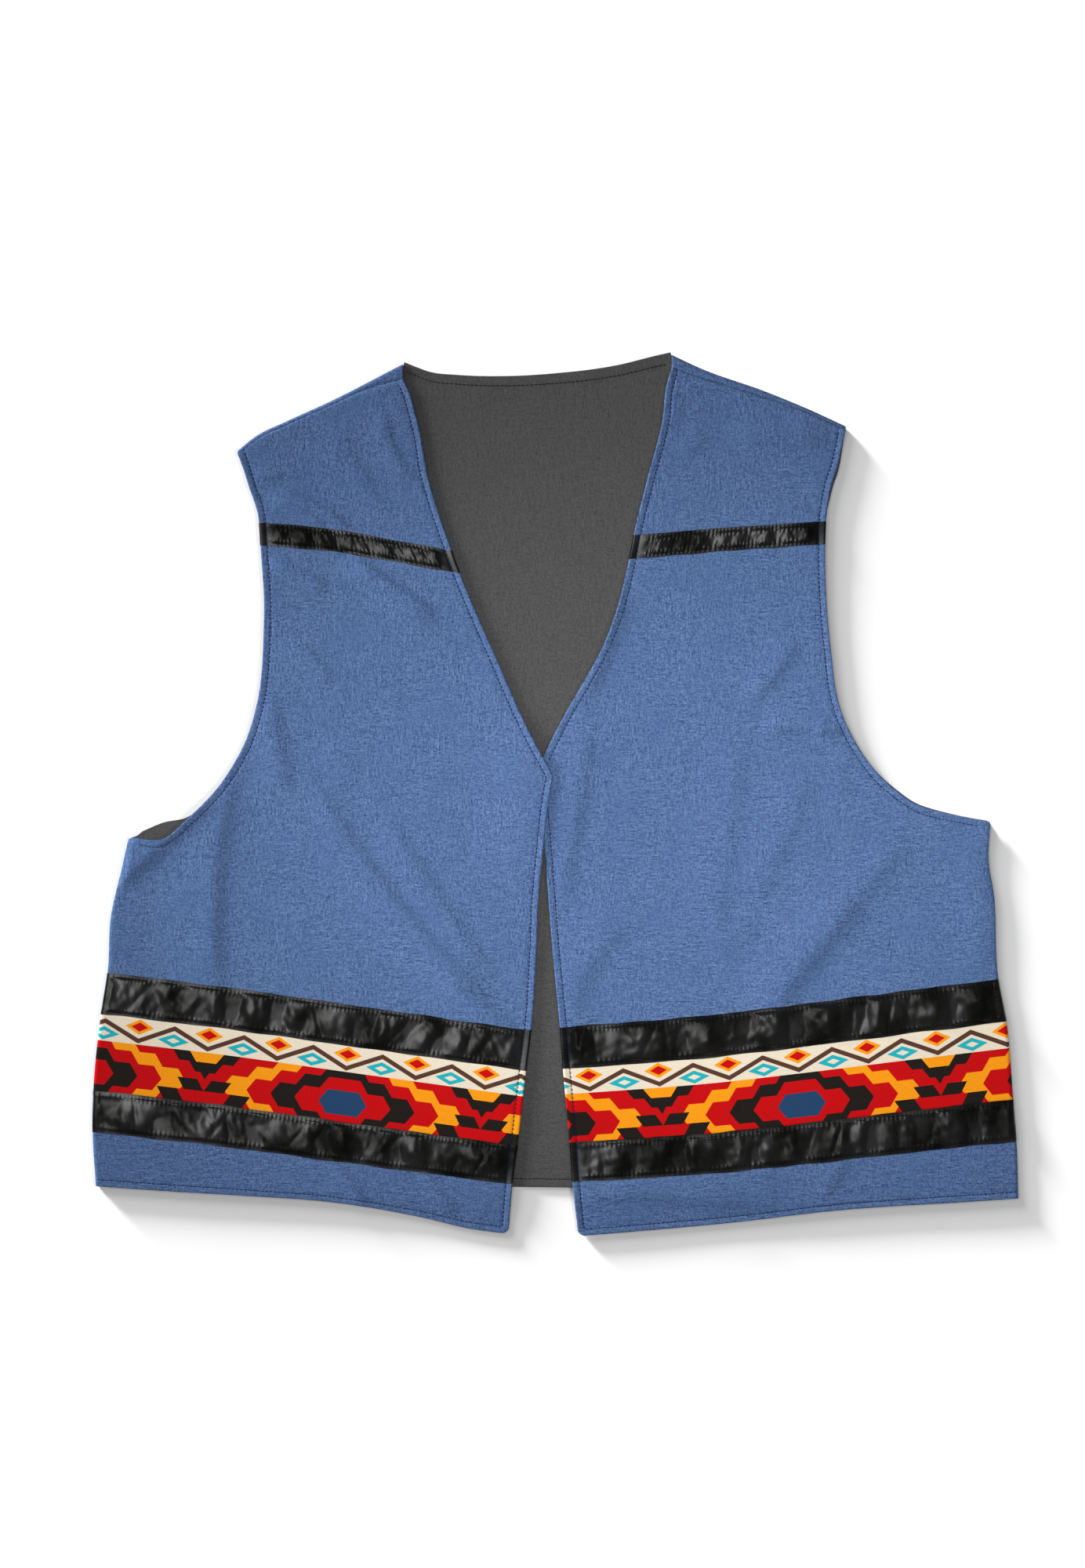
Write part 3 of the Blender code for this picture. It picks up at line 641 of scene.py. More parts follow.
dress(back_lining, "back_lining")


# Front linings: grey lining cloth under each front, cut like it and stopping just inside its folds.
# Its edge is held a hair inside the blue one, and shows past it in a few places.
FRONT_LINING_Z = 3.0
EDGE_ROLL = 0.75
EDGE_INSET = 0.7
EDGE_SETTLE = 0.1
HEM_ROUND = 5.0
FRONT_BREADTH = 270.0
BOWED_ROWS = {
    "hem": ("hem", "hem", "hem", "lower_ribbon_foot"),
    "trim": ("hem", "lower_ribbon_foot", "upper_ribbon_top", "waist"),
    "chest": ("mid_chest", "chest_ribbon_foot", "chest_ribbon_top", "upper_chest"),
}
BOWED_SHARES = (0.0, 1.0, 1.0, 0.0)
FRONT_LINING_STEP = 5.0
FRONT_LINING_EDGE_STEPS = np.array([0.0, 0.3, 0.8, 2.0, 4.0, 7.0])
LINING_PEEK = (
    Peek("hem", 1.0, 0.0),
    Peek("upper_ribbon_top", 1.3, 0.0),
    Peek("underarm", 1.2, 0.0),
    Peek("neck_point", 0.0, 0.0),
    Peek("chest_ribbon_foot", 0.0, 0.2),
    Peek("upper_chest", 0.0, 0.4),
    Peek("shoulder", 0.0, 0.9),
)

# Creases: ends from foot to top, or from left to right where level, sideways bend at the middle, half
# widths of the steep side, which is to the right of that way, and of the gentle side, and height.
Crease = namedtuple("Crease", "from_x from_y to_x to_y bend steep gentle rise")
RIGHT_CREASES = (
    Crease(-210.0, 224.5, -191.0, 222.5, 0.0, 2.4, 5.0, 0.8),
    Crease(-142.0, 186.0, -200.0, 214.0, -4.0, 2.6, 7.0, 1.7),
    Crease(-160.0, 187.0, -200.0, 208.0, -2.0, 2.4, 5.0, 1.3),
    Crease(-98.0, 218.0, -122.0, 271.0, 5.0, 4.0, 10.0, 1.0),
    Crease(-114.0, 184.0, -160.0, 262.0, 0.0, 6.0, 14.0, 0.8),
    Crease(-82.0, 124.0, -146.0, 169.0, 0.0, 3.2, 12.0, 2.4),
    Crease(-64.0, 102.0, -116.0, 135.0, 0.0, 2.8, 8.0, 0.6),
    Crease(-158.0, 146.0, -200.0, 167.0, 0.0, 2.6, 8.0, 1.6),
    Crease(-157.0, 80.0, -188.0, 110.0, -2.5, 3.2, 9.0, 1.0),
    Crease(-188.0, -4.0, -201.0, 70.0, 1.0, 7.0, 12.0, 1.7),
    Crease(-173.0, -48.0, -188.0, 4.0, 0.0, 6.0, 12.0, 0.6),
    Crease(-136.0, 15.0, -162.0, 36.0, 0.0, 5.0, 10.0, 0.6),
    Crease(-237.0, -150.0, -225.0, 28.0, 9.0, 7.5, 22.0, 2.4),
    Crease(-268.0, -122.0, -260.0, -52.0, 0.0, 6.0, 12.0, 0.4),
    Crease(-313.0, -66.0, -238.0, 2.0, 0.0, 6.5, 18.0, 3.0),
    Crease(-30.0, -164.0, -176.0, 18.0, 9.0, 5.2, 20.0, 2.2),
    Crease(-28.0, -165.0, -82.0, -122.0, 2.0, 3.6, 9.0, 1.3),
    Crease(-42.0, -133.0, -121.0, -14.0, 1.0, 5.2, 18.0, 1.6),
    Crease(-131.0, -288.0, -157.0, -254.0, 0.0, 2.8, 8.0, 0.8),
    Crease(-69.0, -295.0, -93.0, -264.0, 0.0, 2.8, 8.0, 0.8),
    Crease(-58.0, -300.0, -46.0, -284.0, 0.0, 3.0, 7.0, 0.4),
)
LEFT_CREASES = (
    Crease(91.0, 238.0, 104.0, 252.0, 0.0, 3.5, 9.0, 0.5),
    Crease(84.0, 254.0, 82.0, 287.0, 0.0, 5.0, 9.0, 0.5),
    Crease(122.0, 252.0, 192.0, 250.0, 0.0, 9.0, 16.0, 1.3),
    Crease(136.0, 66.0, 169.0, 110.0, -2.0, 5.0, 12.0, 1.3),
    Crease(144.0, 45.0, 196.0, 45.0, 3.0, 4.0, 10.0, 1.6),
    Crease(182.0, 44.0, 202.0, 45.0, 0.0, 2.4, 5.0, 1.3),
    Crease(14.0, 62.0, 45.0, 152.0, -6.0, 6.0, 5.0, 2.0),
    Crease(3.0, -80.0, 25.0, 58.0, 0.0, 6.0, 16.0, 1.2),
    Crease(110.0, -120.0, 129.0, 50.0, 1.0, 8.0, 22.0, 1.0),
    Crease(134.0, -81.0, 175.0, 21.0, -4.0, 9.0, 20.0, 1.1),
    Crease(200.0, -9.0, 202.0, 31.0, 0.0, 5.0, 9.0, 0.5),
    Crease(110.0, -111.0, 144.0, -87.0, 0.0, 8.0, 14.0, 0.8),
    Crease(144.0, -160.0, 212.0, -72.0, 3.0, 9.0, 24.0, 2.8),
    Crease(190.0, -92.0, 243.0, -32.0, 0.0, 9.0, 16.0, 1.3),
    Crease(298.0, -135.0, 294.0, -32.0, 0.0, 9.0, 14.0, 0.6),
    Crease(8.0, -162.0, 51.0, -84.0, 9.0, 9.0, 20.0, 1.5),
    Crease(20.0, -279.0, 144.0, -288.0, 4.0, 6.0, 12.0, 2.2),
    Crease(186.0, -283.0, 205.0, -253.0, 0.0, 4.0, 12.0, 0.8),
    Crease(147.0, -294.0, 149.0, -258.0, 0.0, 6.0, 12.0, 0.5),
)
FRONT_RIPPLE = 0.35
SEAM_HOLD = 30.0
CREASE_HOLD = 5.0
CREASE_OVERRUN = 0.05
CREASE_EASE = 0.3
SIDE_POINTS = 60
SHOULDER_POINTS = 30

# Lap of the right front over the left one at the neck point, and the drop of both points past the
# back's hem.
LAP_TOP = np.array([-4.0, 16.0])
LAP_FOOT = np.array([-8.0, -28.0])
LAP_RISE = 2.6
LAP_FULL = 11.0
LAP_REACH = 56.0
DROP = 1.7
DROP_START = 5.0
DROP_REACH = 24.0


def front_plan(front, stations, columns, outer_shift, inner_shift, top_inset):
    """Plan of a front: rows along the stations; columns at the near distances inside each edge and at
    the middle shares between. The bows lift the hem and the trims' rows, and the last rows lean over
    to the shoulder line, top_inset below the fold."""
    near_outer, middle, near_inner = columns
    stations = np.clip(stations, 0.0, front.knots[-1])
    outer, outer_in = front.outer_lines(stations)
    inner, inner_in = front.inner_lines(stations)
    outer = outer + np.broadcast_to(outer_shift, stations.shape)[:, None] * (outer_in - outer) / BAND
    inner = inner + np.broadcast_to(inner_shift, stations.shape)[:, None] * (inner_in - inner) / BAND
    points = across_panel(outer, outer_in, inner_in, inner, near_outer, middle, near_inner)
    reach = (inner - outer)[:, None]
    along = ((points - outer[:, None]) * reach).sum(axis=-1) / (reach ** 2).sum(axis=-1)
    along = np.clip(along, 0.0, 1.0)
    for bowed, names in BOWED_ROWS.items():
        share = np.interp(stations, [front.at(name) for name in names], BOWED_SHARES)
        points[..., 1] += share[:, None] * bow(front.bows[bowed], along)
    tip, neck = front.outer[-1], front.inner[-1]
    inset = front.turn_width(along) + SEAM_GAP / 2 if top_inset is None else np.full(along.shape, top_inset)
    rise = front.fold_line(along) + inset[..., None] * DOWN_BODY - (tip + along[..., None] * (neck - tip))
    start = front.at("neck_turn")
    head = np.clip((stations - start) / (front.knots[-1] - start), 0.0, 1.0)
    return points + head[:, None, None] * rise


def back_hem(x):
    """Height of the back's hem line up the plan."""
    first, last = RIGHT.outer[0], LEFT.outer[0]
    share = np.clip((x - first[0]) / (last[0] - first[0]), 0.0, 1.0)
    return first[1] + share * (last[1] - first[1]) + bow(BACK_HEM, share)


def crease_height(plan, crease):
    """A bent crest: a bell across the line, steep on one side and gentle on the other, easing out over
    a quarter of the line at each end."""
    start = np.array([crease.from_x, crease.from_y])
    way = np.array([crease.to_x, crease.to_y]) - start
    length = np.linalg.norm(way)
    way = way / length
    share = (plan - start) @ way / length
    aside = (plan - start) @ np.array([-way[1], way[0]]) - crease.bend * 4 * share * (1 - share)
    ends = (ease((share + CREASE_OVERRUN) / CREASE_EASE)
            * ease((1 + CREASE_OVERRUN - share) / CREASE_EASE))
    width = np.where(aside < 0, crease.steep, crease.gentle)
    return crease.rise * ends * np.exp(-(aside / width) ** 2)


def lie(front, plan):
    """Height of a front above its layer: gentle waves and creases that fade at the seams, the lap, and
    the drop past the back's hem."""
    side = front.outer_lines(np.linspace(0.0, front.at("underarm"), SIDE_POINTS))[0]
    seam = np.concatenate([side, front.fold_line(np.linspace(0.0, 1.0, SHOULDER_POINTS))])
    clear = np.linalg.norm(plan[..., None, :] - seam, axis=-1).min(axis=-1)
    creases = RIGHT_CREASES if front is RIGHT else LEFT_CREASES
    height = FRONT_RIPPLE * ripple(plan) * ease(clear / SEAM_HOLD)
    height += ease(clear / CREASE_HOLD) * sum(crease_height(plan, crease) for crease in creases)
    if front is RIGHT:
        lap = LAP_FOOT - LAP_TOP
        share = np.clip((plan - LAP_TOP) @ lap / (lap @ lap), 0.0, 1.0)
        away = np.linalg.norm(plan - LAP_TOP - share[..., None] * lap, axis=-1)
        height += LAP_RISE * (1 - ease((away - LAP_FULL) / (LAP_REACH - LAP_FULL)))
    past_hem = back_hem(plan[..., 0]) - plan[..., 1]
    return height - DROP * ease((past_hem - DROP_START) / DROP_REACH)


def edge_distances(front, stations, columns):
    """Distance of each grid point from the outer edge, the inner edge and the hem, BAND or less, and
    how far each row is past the underarm: 0 on the side seam, 1 along the armhole."""
    near_outer, middle, near_inner = columns
    from_outer = np.concatenate([near_outer, np.full(len(middle) + len(near_inner), BAND)])
    from_inner = np.concatenate([np.full(len(near_outer) + len(middle), BAND), near_inner])
    from_hem = np.minimum(stations, BAND)
    armhole = front.past_side(stations, UNDERARM_EASE / 2)
    return from_outer[None, :], from_inner[None, :], from_hem[:, None], armhole[:, None]


def front_columns(near, step):
    """Columns across a front: the near distances inside each edge, and shares about a step apart between."""
    return near, np.linspace(0.0, 1.0, int(FRONT_BREADTH / step)), near[::-1]


def front_rows(front, near, step):
    """Stations from hem to shoulder: at the near distances inside the hem, then about a step apart."""
    inside = np.linspace(BAND, front.knots[-1], int((front.knots[-1] - BAND) / step) + 1)
    return np.concatenate([near, inside])


def round_hem(front, plan, from_inner, from_hem):
    """The plan with the hem's inner corner rounded: points near it move in along the edge's square and up
    along the edge, so that squares round the corner become circles."""
    start, start_in = (line[0] for line in front.inner_lines(np.zeros(1)))
    rising = front.inner_lines(np.full(1, BAND))[0][0] - start
    corner_in = 1 - np.clip(from_inner, 0.0, HEM_ROUND) / HEM_ROUND
    corner_up = 1 - np.clip(from_hem, 0.0, HEM_ROUND) / HEM_ROUND
    far = np.maximum(np.hypot(corner_in, corner_up), 1e-6)
    shrink = 1 - np.maximum(corner_in, corner_up) / far
    shrink = np.where((corner_in > 0) & (corner_up > 0), shrink, 0.0)
    plan = plan + (HEM_ROUND * corner_in * shrink)[..., None] * (start_in - start) / BAND
    return plan + (HEM_ROUND * corner_up * shrink)[..., None] * unit(rising)


def settle(from_outer, from_inner, armhole):
    """How far the free edges of a front sink on to the back: most at the edge, nothing BAND inside."""
    return EDGE_SETTLE * np.maximum((1 - ease(from_outer / BAND)) * armhole, 1 - ease(from_inner / BAND))


FrontCut = namedtuple("FrontCut", "front width length area")
FRONT_CUTS = (
    FrontCut(RIGHT, 0.31, 0.60, 0.127),
    FrontCut(LEFT, 0.32, 0.62, 0.137),
)
for front, width, length, area in FRONT_CUTS:
    stations = front_rows(front, FRONT_LINING_EDGE_STEPS, FRONT_LINING_STEP)
    columns = front_columns(FRONT_LINING_EDGE_STEPS, FRONT_LINING_STEP)
    past_side = front.past_side(stations)
    outer_inset = LINING_INSET * (1 - past_side) + EDGE_INSET * past_side
    inner_inset = EDGE_INSET - front.peek(LINING_PEEK, stations)
    plan = front_plan(front, stations, columns, outer_inset, inner_inset, LINING_INSET)
    plan[0, :, 1] += EDGE_INSET
    from_outer, from_inner, from_hem, armhole = edge_distances(front, stations, columns)
    plan = round_hem(front, plan, from_inner, from_hem)
    height = FRONT_LINING_Z + lie(front, plan) - settle(from_outer, from_inner, armhole)
    piece = add_sheet("front_lining_cloth_" + front.side, lay(plan, height), LINING_WALL, lining)
    dress(piece, "front_lining_" + front.side)


# Fronts: blue chambray, sewn to the back at the sides and shoulders. The free edges are turned in
# against the lining and topstitched, which draws a furrow along them.
FRONT_STEP = 2.3
FRONT_EDGE_STEPS = np.array([-LIP, 0.0, 0.06, 0.2, 0.42, 0.75, 1.3, 2.2, 3.0, 3.6, 4.0, 4.4, 4.8, 5.3,
                             6.2, 7.8])
FRONT_STITCH = 4.4
EDGE_CURL = 0.5


def front_surface(front, stations, columns):
    """Middle of a front's cloth: its plan with the hem's inner corner rounded, at the height of its
    lie, less the quarter turn at each edge, the stitch furrow and the dip at the shoulder seam, plus
    the thick edge's curl upward from the furrow."""
    plan = front_plan(front, stations, columns, 0.0, 0.0, None)
    from_outer, from_inner, from_hem, armhole = edge_distances(front, stations, columns)
    plan = round_hem(front, plan, from_inner, from_hem)
    side_fall = fall(from_outer, SIDE_ROLL)
    free_fall = fall(from_outer, EDGE_ROLL)
    turned = np.maximum(side_fall * (1 - armhole) + free_fall * armhole, fall(from_inner, EDGE_ROLL))
    turned = np.maximum(turned, fall(from_hem, EDGE_ROLL))
    free = np.minimum(np.where(armhole > 0.5, from_outer, BAND), np.minimum(from_inner, from_hem))
    curl = EDGE_CURL * np.clip(1 - free / FRONT_STITCH, 0.0, 1.0)
    to_top = np.linalg.norm(np.diff(plan, axis=0), axis=-1)[::-1].cumsum(axis=0)[::-1]
    to_top = np.concatenate([to_top, np.zeros((1, plan.shape[1]))])
    to_top = np.where(stations[:, None] > front.at("collarbone"), to_top, BAND)
    top_length = np.linalg.norm(plan[-1] - front.outer[-1], axis=-1)
    dip = front.seam_dip(np.clip(top_length / top_length.max(), 0.0, 1.0))
    dip = dip * np.exp(-(to_top / SEAM_DIP_REACH) ** 2)
    height = FRONT_SHELL_Z + lie(front, plan) - settle(from_outer, from_inner, armhole)
    return lay(plan, height - turned - groove(free, FRONT_STITCH) + curl - dip)


for front in FRONTS:
    stations = front_rows(front, FRONT_EDGE_STEPS, FRONT_STEP)
    grid = front_surface(front, stations, front_columns(FRONT_EDGE_STEPS, FRONT_STEP))
    piece = add_sheet("front_cloth_" + front.side, grid, CHAMBRAY_WALL, chambray)
    dress(piece, "front_shell_" + front.side)


# Satin ribbons: a narrow black one across each chest and two wide ones above each hem, caught in the
# edges at both ends and sewn down with a zigzag inside each long edge. Between the rows the satin
# puckers crosswise.
RIBBON_WALL = 0.22
RIBBON_LIFT = 0.42
OVER_PRINT = 0.2
OVER_PRINT_FLAT = 1.5
OVER_PRINT_EASE = 4.0
ZIGZAG_INSET = 3.4
ZIGZAG_SWING = 2.2
TRIM_STEP = 0.85
Ribbon = namedtuple("Ribbon", "name foot top print_at wave slope fold_gap seed")
RIBBONS = (
    Ribbon("chest_ribbon", "chest_ribbon_foot", "chest_ribbon_top", None, 14.0, 0.18, 9.0, 5),
    Ribbon("upper_ribbon", "print_top", "upper_ribbon_top", "foot", 28.0, 0.18, 8.0, 17),
    Ribbon("lower_ribbon", "lower_ribbon_foot", "print_foot", "top", 28.0, 0.18, 8.0, 29),
)
LEFT_SEED = 101
WAVES = 12
WaveSet = namedtuple("WaveSet", "length height lean")
WAVE_SETS = (WaveSet(1.0, 1.0, 0.3), WaveSet(0.34, 0.5, 0.8), WaveSet(0.18, 0.2, 0.7))
WAVE_SPREAD = (0.6, 1.7)
SHORTEST_WAVE = 2.8
SLOW_WAVE = (25.0, 70.0)
FOLD_DEPTH = (0.15, 0.6)
FOLD_WIDTH = (1.6, 3.4)
FOLD_LEAN = 0.35
FOLD_PLACE = (0.2, 0.8)
FOLD_REACH = (0.3, 0.7)
PUCKER_LIFT = 1.3
PINNED = 0.7
CRIMP = 0.2
CRIMP_WAVE = 3.0
CRIMP_REACH = 1.9
CRIMP_SWAY = 4.0
EDGE_WOBBLE = 0.5
WOBBLE_REACH = 6.0
END_HOLD = 6.0
END_EASE = 6.0
RIBBON_EDGE_ROWS = np.array([0.0, 0.12, 0.4, 0.9, 1.6, 2.4, 2.9, 3.4, 3.9, 4.4, 5.2, 6.2])
RIBBON_ROW_STEP = 1.3

SATIN_RELIEF = 0.00002
SATIN_BLACK = (0.003, 0.003, 0.0028)
SATIN_TINT = (0.92, 1.0, 0.88)
SHEEN_X = 0.035
SHEEN_Y = 0.03
satin = new_cloth("black_satin", 0.28, 0.15)
tree, inputs = satin.tree, satin.surface.inputs
inputs["Base Color"].default_value = (*SATIN_BLACK, 1.0)
inputs["Specular Tint"].default_value = (*SATIN_TINT, 1.0)
inputs["Coat Roughness"].default_value = 0.34
inputs["Coat IOR"].default_value = 1.95
tree.links.new(stretch_range(tree, satin.tone, 0.2, 0.8, 0.24, 0.32), inputs["Roughness"])
sheen = noise(tree, satin.place, SHEEN_X / MM, SHEEN_Y / MM, 4.0)
tree.links.new(stretch_range(tree, sheen, 0.38, 0.62, 0.0, 1.0), inputs["Coat Weight"])
add_relief(satin, satin.tone, SATIN_RELIEF)


def raise_from(grid, amount):
    """The grid's points moved along its normals, which are square to its rows and columns."""
    normal = unit(np.cross(np.gradient(grid, axis=1), np.gradient(grid, axis=0)))
    upward = np.sign(normal[normal.shape[0] // 2, normal.shape[1] // 2, 2])
    return grid + upward * normal * np.asarray(amount)[..., None]


def lengths(points):
    """Length along a line of points, from nothing at the first."""
    steps = np.linalg.norm(np.diff(points, axis=0), axis=-1)
    return np.concatenate([[0.0], np.cumsum(steps)])


def slow_waves(random, along):
    """Three long waves along a line, of chance length and phase, 1 high at most."""
    return sum(np.cos(along * 2 * np.pi / random.uniform(*SLOW_WAVE) + random.uniform(0.0, 2 * np.pi))
               for _ in range(3)) / 3


def puckers(random, ribbon, along, across, width):
    """Height of a ribbon's puckers. Long, short and fine waves of uneven length run along it, each turned
    a little, and narrow folds of chance depth and lean cut across them. Both are pinned down at the rows of
    stitches and at the stitched ends, and never below the cloth. Short crimps follow each row."""
    height = np.zeros((len(across), len(along)))
    for kind in WAVE_SETS:
        for _ in range(WAVES):
            wave = max(ribbon.wave * kind.length * random.uniform(*WAVE_SPREAD), SHORTEST_WAVE)
            turn = random.normal(0.0, kind.lean)
            phase = random.uniform(0.0, 2 * np.pi)
            run = along[None, :] * math.cos(turn) + across[:, None] * math.sin(turn)
            height += kind.height * wave * np.cos(2 * np.pi * run / wave + phase)
    height *= ribbon.slope / (np.pi * math.sqrt(2 * WAVES)) * (1 + 0.5 * slow_waves(random, along))
    for _ in range(int(along[-1] / ribbon.fold_gap)):
        deep, wide = random.uniform(*FOLD_DEPTH), random.uniform(*FOLD_WIDTH)
        start, lean = random.uniform(0.0, along[-1]), random.normal(0.0, FOLD_LEAN)
        beside = along - start - lean * (across[:, None] - width / 2)
        reach = (across - random.uniform(*FOLD_PLACE) * width) / (width * random.uniform(*FOLD_REACH))
        height -= deep * np.exp(-(beside / wide) ** 2 - reach[:, None] ** 2)
    height = np.maximum(height + PUCKER_LIFT * height.std(), 0.0)
    pinned = PINNED * ZIGZAG_INSET
    share = np.clip((across - pinned) / (width - 2 * pinned), 0.0, 1.0)
    height *= np.sin(np.pi * share)[:, None] ** 0.5
    for row in (ZIGZAG_INSET, width - ZIGZAG_INSET):
        phase = along * 2 * np.pi / CRIMP_WAVE + CRIMP_SWAY * slow_waves(random, along)
        height += CRIMP * (1 + np.cos(phase)) * np.exp(-((across - row) / CRIMP_REACH) ** 2)[:, None]
    held = END_HOLD if ribbon.print_at is None else 0.0
    ends = ease((along - held) / END_EASE) * ease((along[-1] - along - END_HOLD) / END_EASE)
    return height * ends


def tube(points, normals, radius, sides):
    """Ring of points round each point of a line, in the plane square to it."""
    beside = unit(np.cross(normals, unit(np.gradient(points, axis=-2))))
    angle = np.arange(sides) * 2 * np.pi / sides
    ring = np.cos(angle)[:, None] * beside[..., None, :] + np.sin(angle)[:, None] * normals[..., None, :]
    return points[..., None, :] + np.asarray(radius)[..., None, None] * ring


def add_threads(name, rings, material):
    """Closed threads from rings of points: one thread a row, a face between neighbours of two rings and
    one over each end."""
    threads, count, sides = rings.shape[:3]
    index = np.arange(threads * count * sides).reshape(threads, count, sides)
    turned = np.roll(index, -1, axis=2)
    skins = np.stack([index[:, :-1], turned[:, :-1], turned[:, 1:], index[:, 1:]], axis=-1).reshape(-1, 4)
    caps = index[:, 0, ::-1].tolist() + index[:, -1].tolist()
    return add_mesh(name, rings.reshape(-1, 3), skins.tolist() + caps, material)


def along_line(points, at):
    """Points of a line at the given lengths along it."""
    length = lengths(points)
    return np.stack([np.interp(at, length, points[:, axis]) for axis in range(points.shape[1])], axis=-1)


def new_thread(name, colour):
    """A dull thread of one colour."""
    material, _, surface = new_shader(name, 0.6, 0.2)
    surface.inputs["Base Color"].default_value = (*colour, 1.0)
    return material


black_thread = new_thread("black_thread", (0.006, 0.006, 0.007))
UP = np.array([0.0, 0.0, 1.0])
ZIGZAG_STEP = 2.1
ZIGZAG_THREAD = 0.22
ZIGZAG_SIDES = 4
for front in FRONTS:
    for ribbon in RIBBONS:
        random = np.random.default_rng(ribbon.seed + (0 if front is RIGHT else LEFT_SEED))
        foot, top = front.at(ribbon.foot), front.at(ribbon.top)
        width = top - foot
        last_row = RIBBON_EDGE_ROWS[-1]
        inside = np.arange(last_row + RIBBON_ROW_STEP, width - last_row, RIBBON_ROW_STEP)
        across = np.concatenate([RIBBON_EDGE_ROWS, inside, width - RIBBON_EDGE_ROWS[::-1]])
        base = front_surface(front, foot + across, front_columns(FRONT_EDGE_STEPS[1:], TRIM_STEP))
        along = lengths(base[len(across) // 2])
        lift = RIBBON_LIFT + puckers(random, ribbon, along, across, width)
        if ribbon.print_at is not None:
            from_print = across if ribbon.print_at == "foot" else width - across
            lift = lift + OVER_PRINT * (1 - ease((from_print - OVER_PRINT_FLAT) / OVER_PRINT_EASE))[:, None]
        grid = raise_from(base, lift)
        upward = unit(np.gradient(grid, axis=0))
        for from_edge in (across, width - across):
            wobble = EDGE_WOBBLE * slow_waves(random, along) * (1 - ease(from_edge / WOBBLE_REACH))[:, None]
            grid = grid + wobble[..., None] * upward
        piece = add_sheet(ribbon.name + "_cloth_" + front.side, grid, RIBBON_WALL, satin)
        dress(piece, ribbon.name + "_" + front.side)
        at = np.arange(END_HOLD, along[-1] - END_HOLD, ZIGZAG_STEP)
        even = (np.arange(len(at)) % 2 == 0)[:, None]
        radius = np.full(len(at), ZIGZAG_THREAD)
        stitched = []
        for edge in (ZIGZAG_INSET, width - ZIGZAG_INSET):
            low, high = (grid[np.abs(across - edge - swing).argmin()]
                         for swing in (-ZIGZAG_SWING / 2, ZIGZAG_SWING / 2))
            points = np.where(even, along_line(low, at), along_line(high, at))
            points = points + UP * (RIBBON_WALL / 2 + ZIGZAG_THREAD / 2)
            stitched.append(tube(points, np.broadcast_to(UP, points.shape), radius, ZIGZAG_SIDES))
        zigzag = add_threads(ribbon.name + "_zigzag_" + front.side, np.stack(stitched), black_thread)
        dress(zigzag)


# Printed cotton: a band between the two wide ribbons, which cover its long edges. Its pattern is a
# generic one of stepped diamonds on red under a cream border with a zigzag.
PRINT_WALL = 0.2
PRINT_LIFT = 0.36
PRINT_UNDER = 1.2
PRINT_STEP = 2.2
RED = (0.41, 0.002, 0.004)
ORANGE = (0.70, 0.245, 0.006)
CREAM = (0.60, 0.53, 0.42)
BLACK = (0.008, 0.008, 0.007)
TEAL = (0.008, 0.32, 0.37)
NAVY = (0.010, 0.043, 0.105)
BROWN = (0.070, 0.030, 0.020)
printed = new_cloth("printed_cotton", 0.85, 0.15)
tree = printed.tree
texture = tree.nodes.new("ShaderNodeUVMap")
texture.uv_map = "cloth"
axes = tree.nodes.new("ShaderNodeSeparateXYZ")
tree.links.new(texture.outputs["UV"], axes.inputs[0])
along, up = axes.outputs["X"], axes.outputs["Y"]


def off(value, middle):
    """Distance of a value from a middle one, in the print's node tree."""
    return calc(tree, "ABSOLUTE", calc(tree, "SUBTRACT", value, middle))


def stepped(from_middle, diamond):
    """Ring number of a stepped diamond: whole steps along plus whole steps up from its middle, with the
    upright sides of the steps slanting outward."""
    climb = calc(tree, "DIVIDE", off(up, diamond.middle), diamond.tall)
    rows = calc(tree, "FLOOR", climb)
    leaned = calc(tree, "MULTIPLY_ADD", calc(tree, "SUBTRACT", climb, rows), diamond.slant, from_middle)
    return calc(tree, "ADD", calc(tree, "FLOOR", calc(tree, "DIVIDE", leaned, diamond.wide)), rows)


def plain(from_middle, diamond):
    """Share of the way out of a plain diamond: shares of its half width and half height added up."""
    above = calc(tree, "DIVIDE", off(up, diamond.middle), diamond.tall)
    return calc(tree, "ADD", calc(tree, "DIVIDE", from_middle, diamond.wide), above)


def painted(ground, *rings):
    """The ground with rings painted over it, each where its number is below a limit."""
    for number, below, colour in rings:
        ground = blend_colours(tree, calc(tree, "LESS_THAN", number, below), ground, colour)
    return ground


PERIOD = 196.0
WAVE = PERIOD / 8
WAVE_SLOPE = 0.47
WAVE_FOOT = 37.5
WAVE_LINE = 1.7
CREAM_FOOT = 35.0
FADING = 0.12
PRINT_RELIEF = 0.00008
PRINT_START = {"right": 20.0, "left": 47.0}
Diamond = namedtuple("Diamond", "middle wide tall slant")
from_big = calc(tree, "PINGPONG", along, PERIOD / 2)
from_small = calc(tree, "SUBTRACT", PERIOD / 2, from_big)
big = stepped(from_big, Diamond(13.0, 17.0, 8.5, 6.0))
low = stepped(from_small, Diamond(0.0, 14.0, 8.0, -5.0))
high = stepped(from_small, Diamond(CREAM_FOOT, 12.0, 7.0, 5.0))
colour = painted(RED, (big, 4.5, ORANGE), (big, 3.5, RED), (big, 2.5, BLACK), (big, 1.5, RED),
                 (big, 0.5, NAVY), (low, 1.5, BLACK), (low, 0.5, RED),
                 (high, 1.5, BLACK), (high, 0.5, ORANGE))
border = calc(tree, "GREATER_THAN", up, CREAM_FOOT)
colour = blend_colours(tree, border, colour, CREAM)
wave = calc(tree, "PINGPONG", along, WAVE)
off_wave = off(calc(tree, "MULTIPLY_ADD", wave, WAVE_SLOPE, WAVE_FOOT), up)
zigzag_line = calc(tree, "MULTIPLY", calc(tree, "LESS_THAN", off_wave, WAVE_LINE), border)
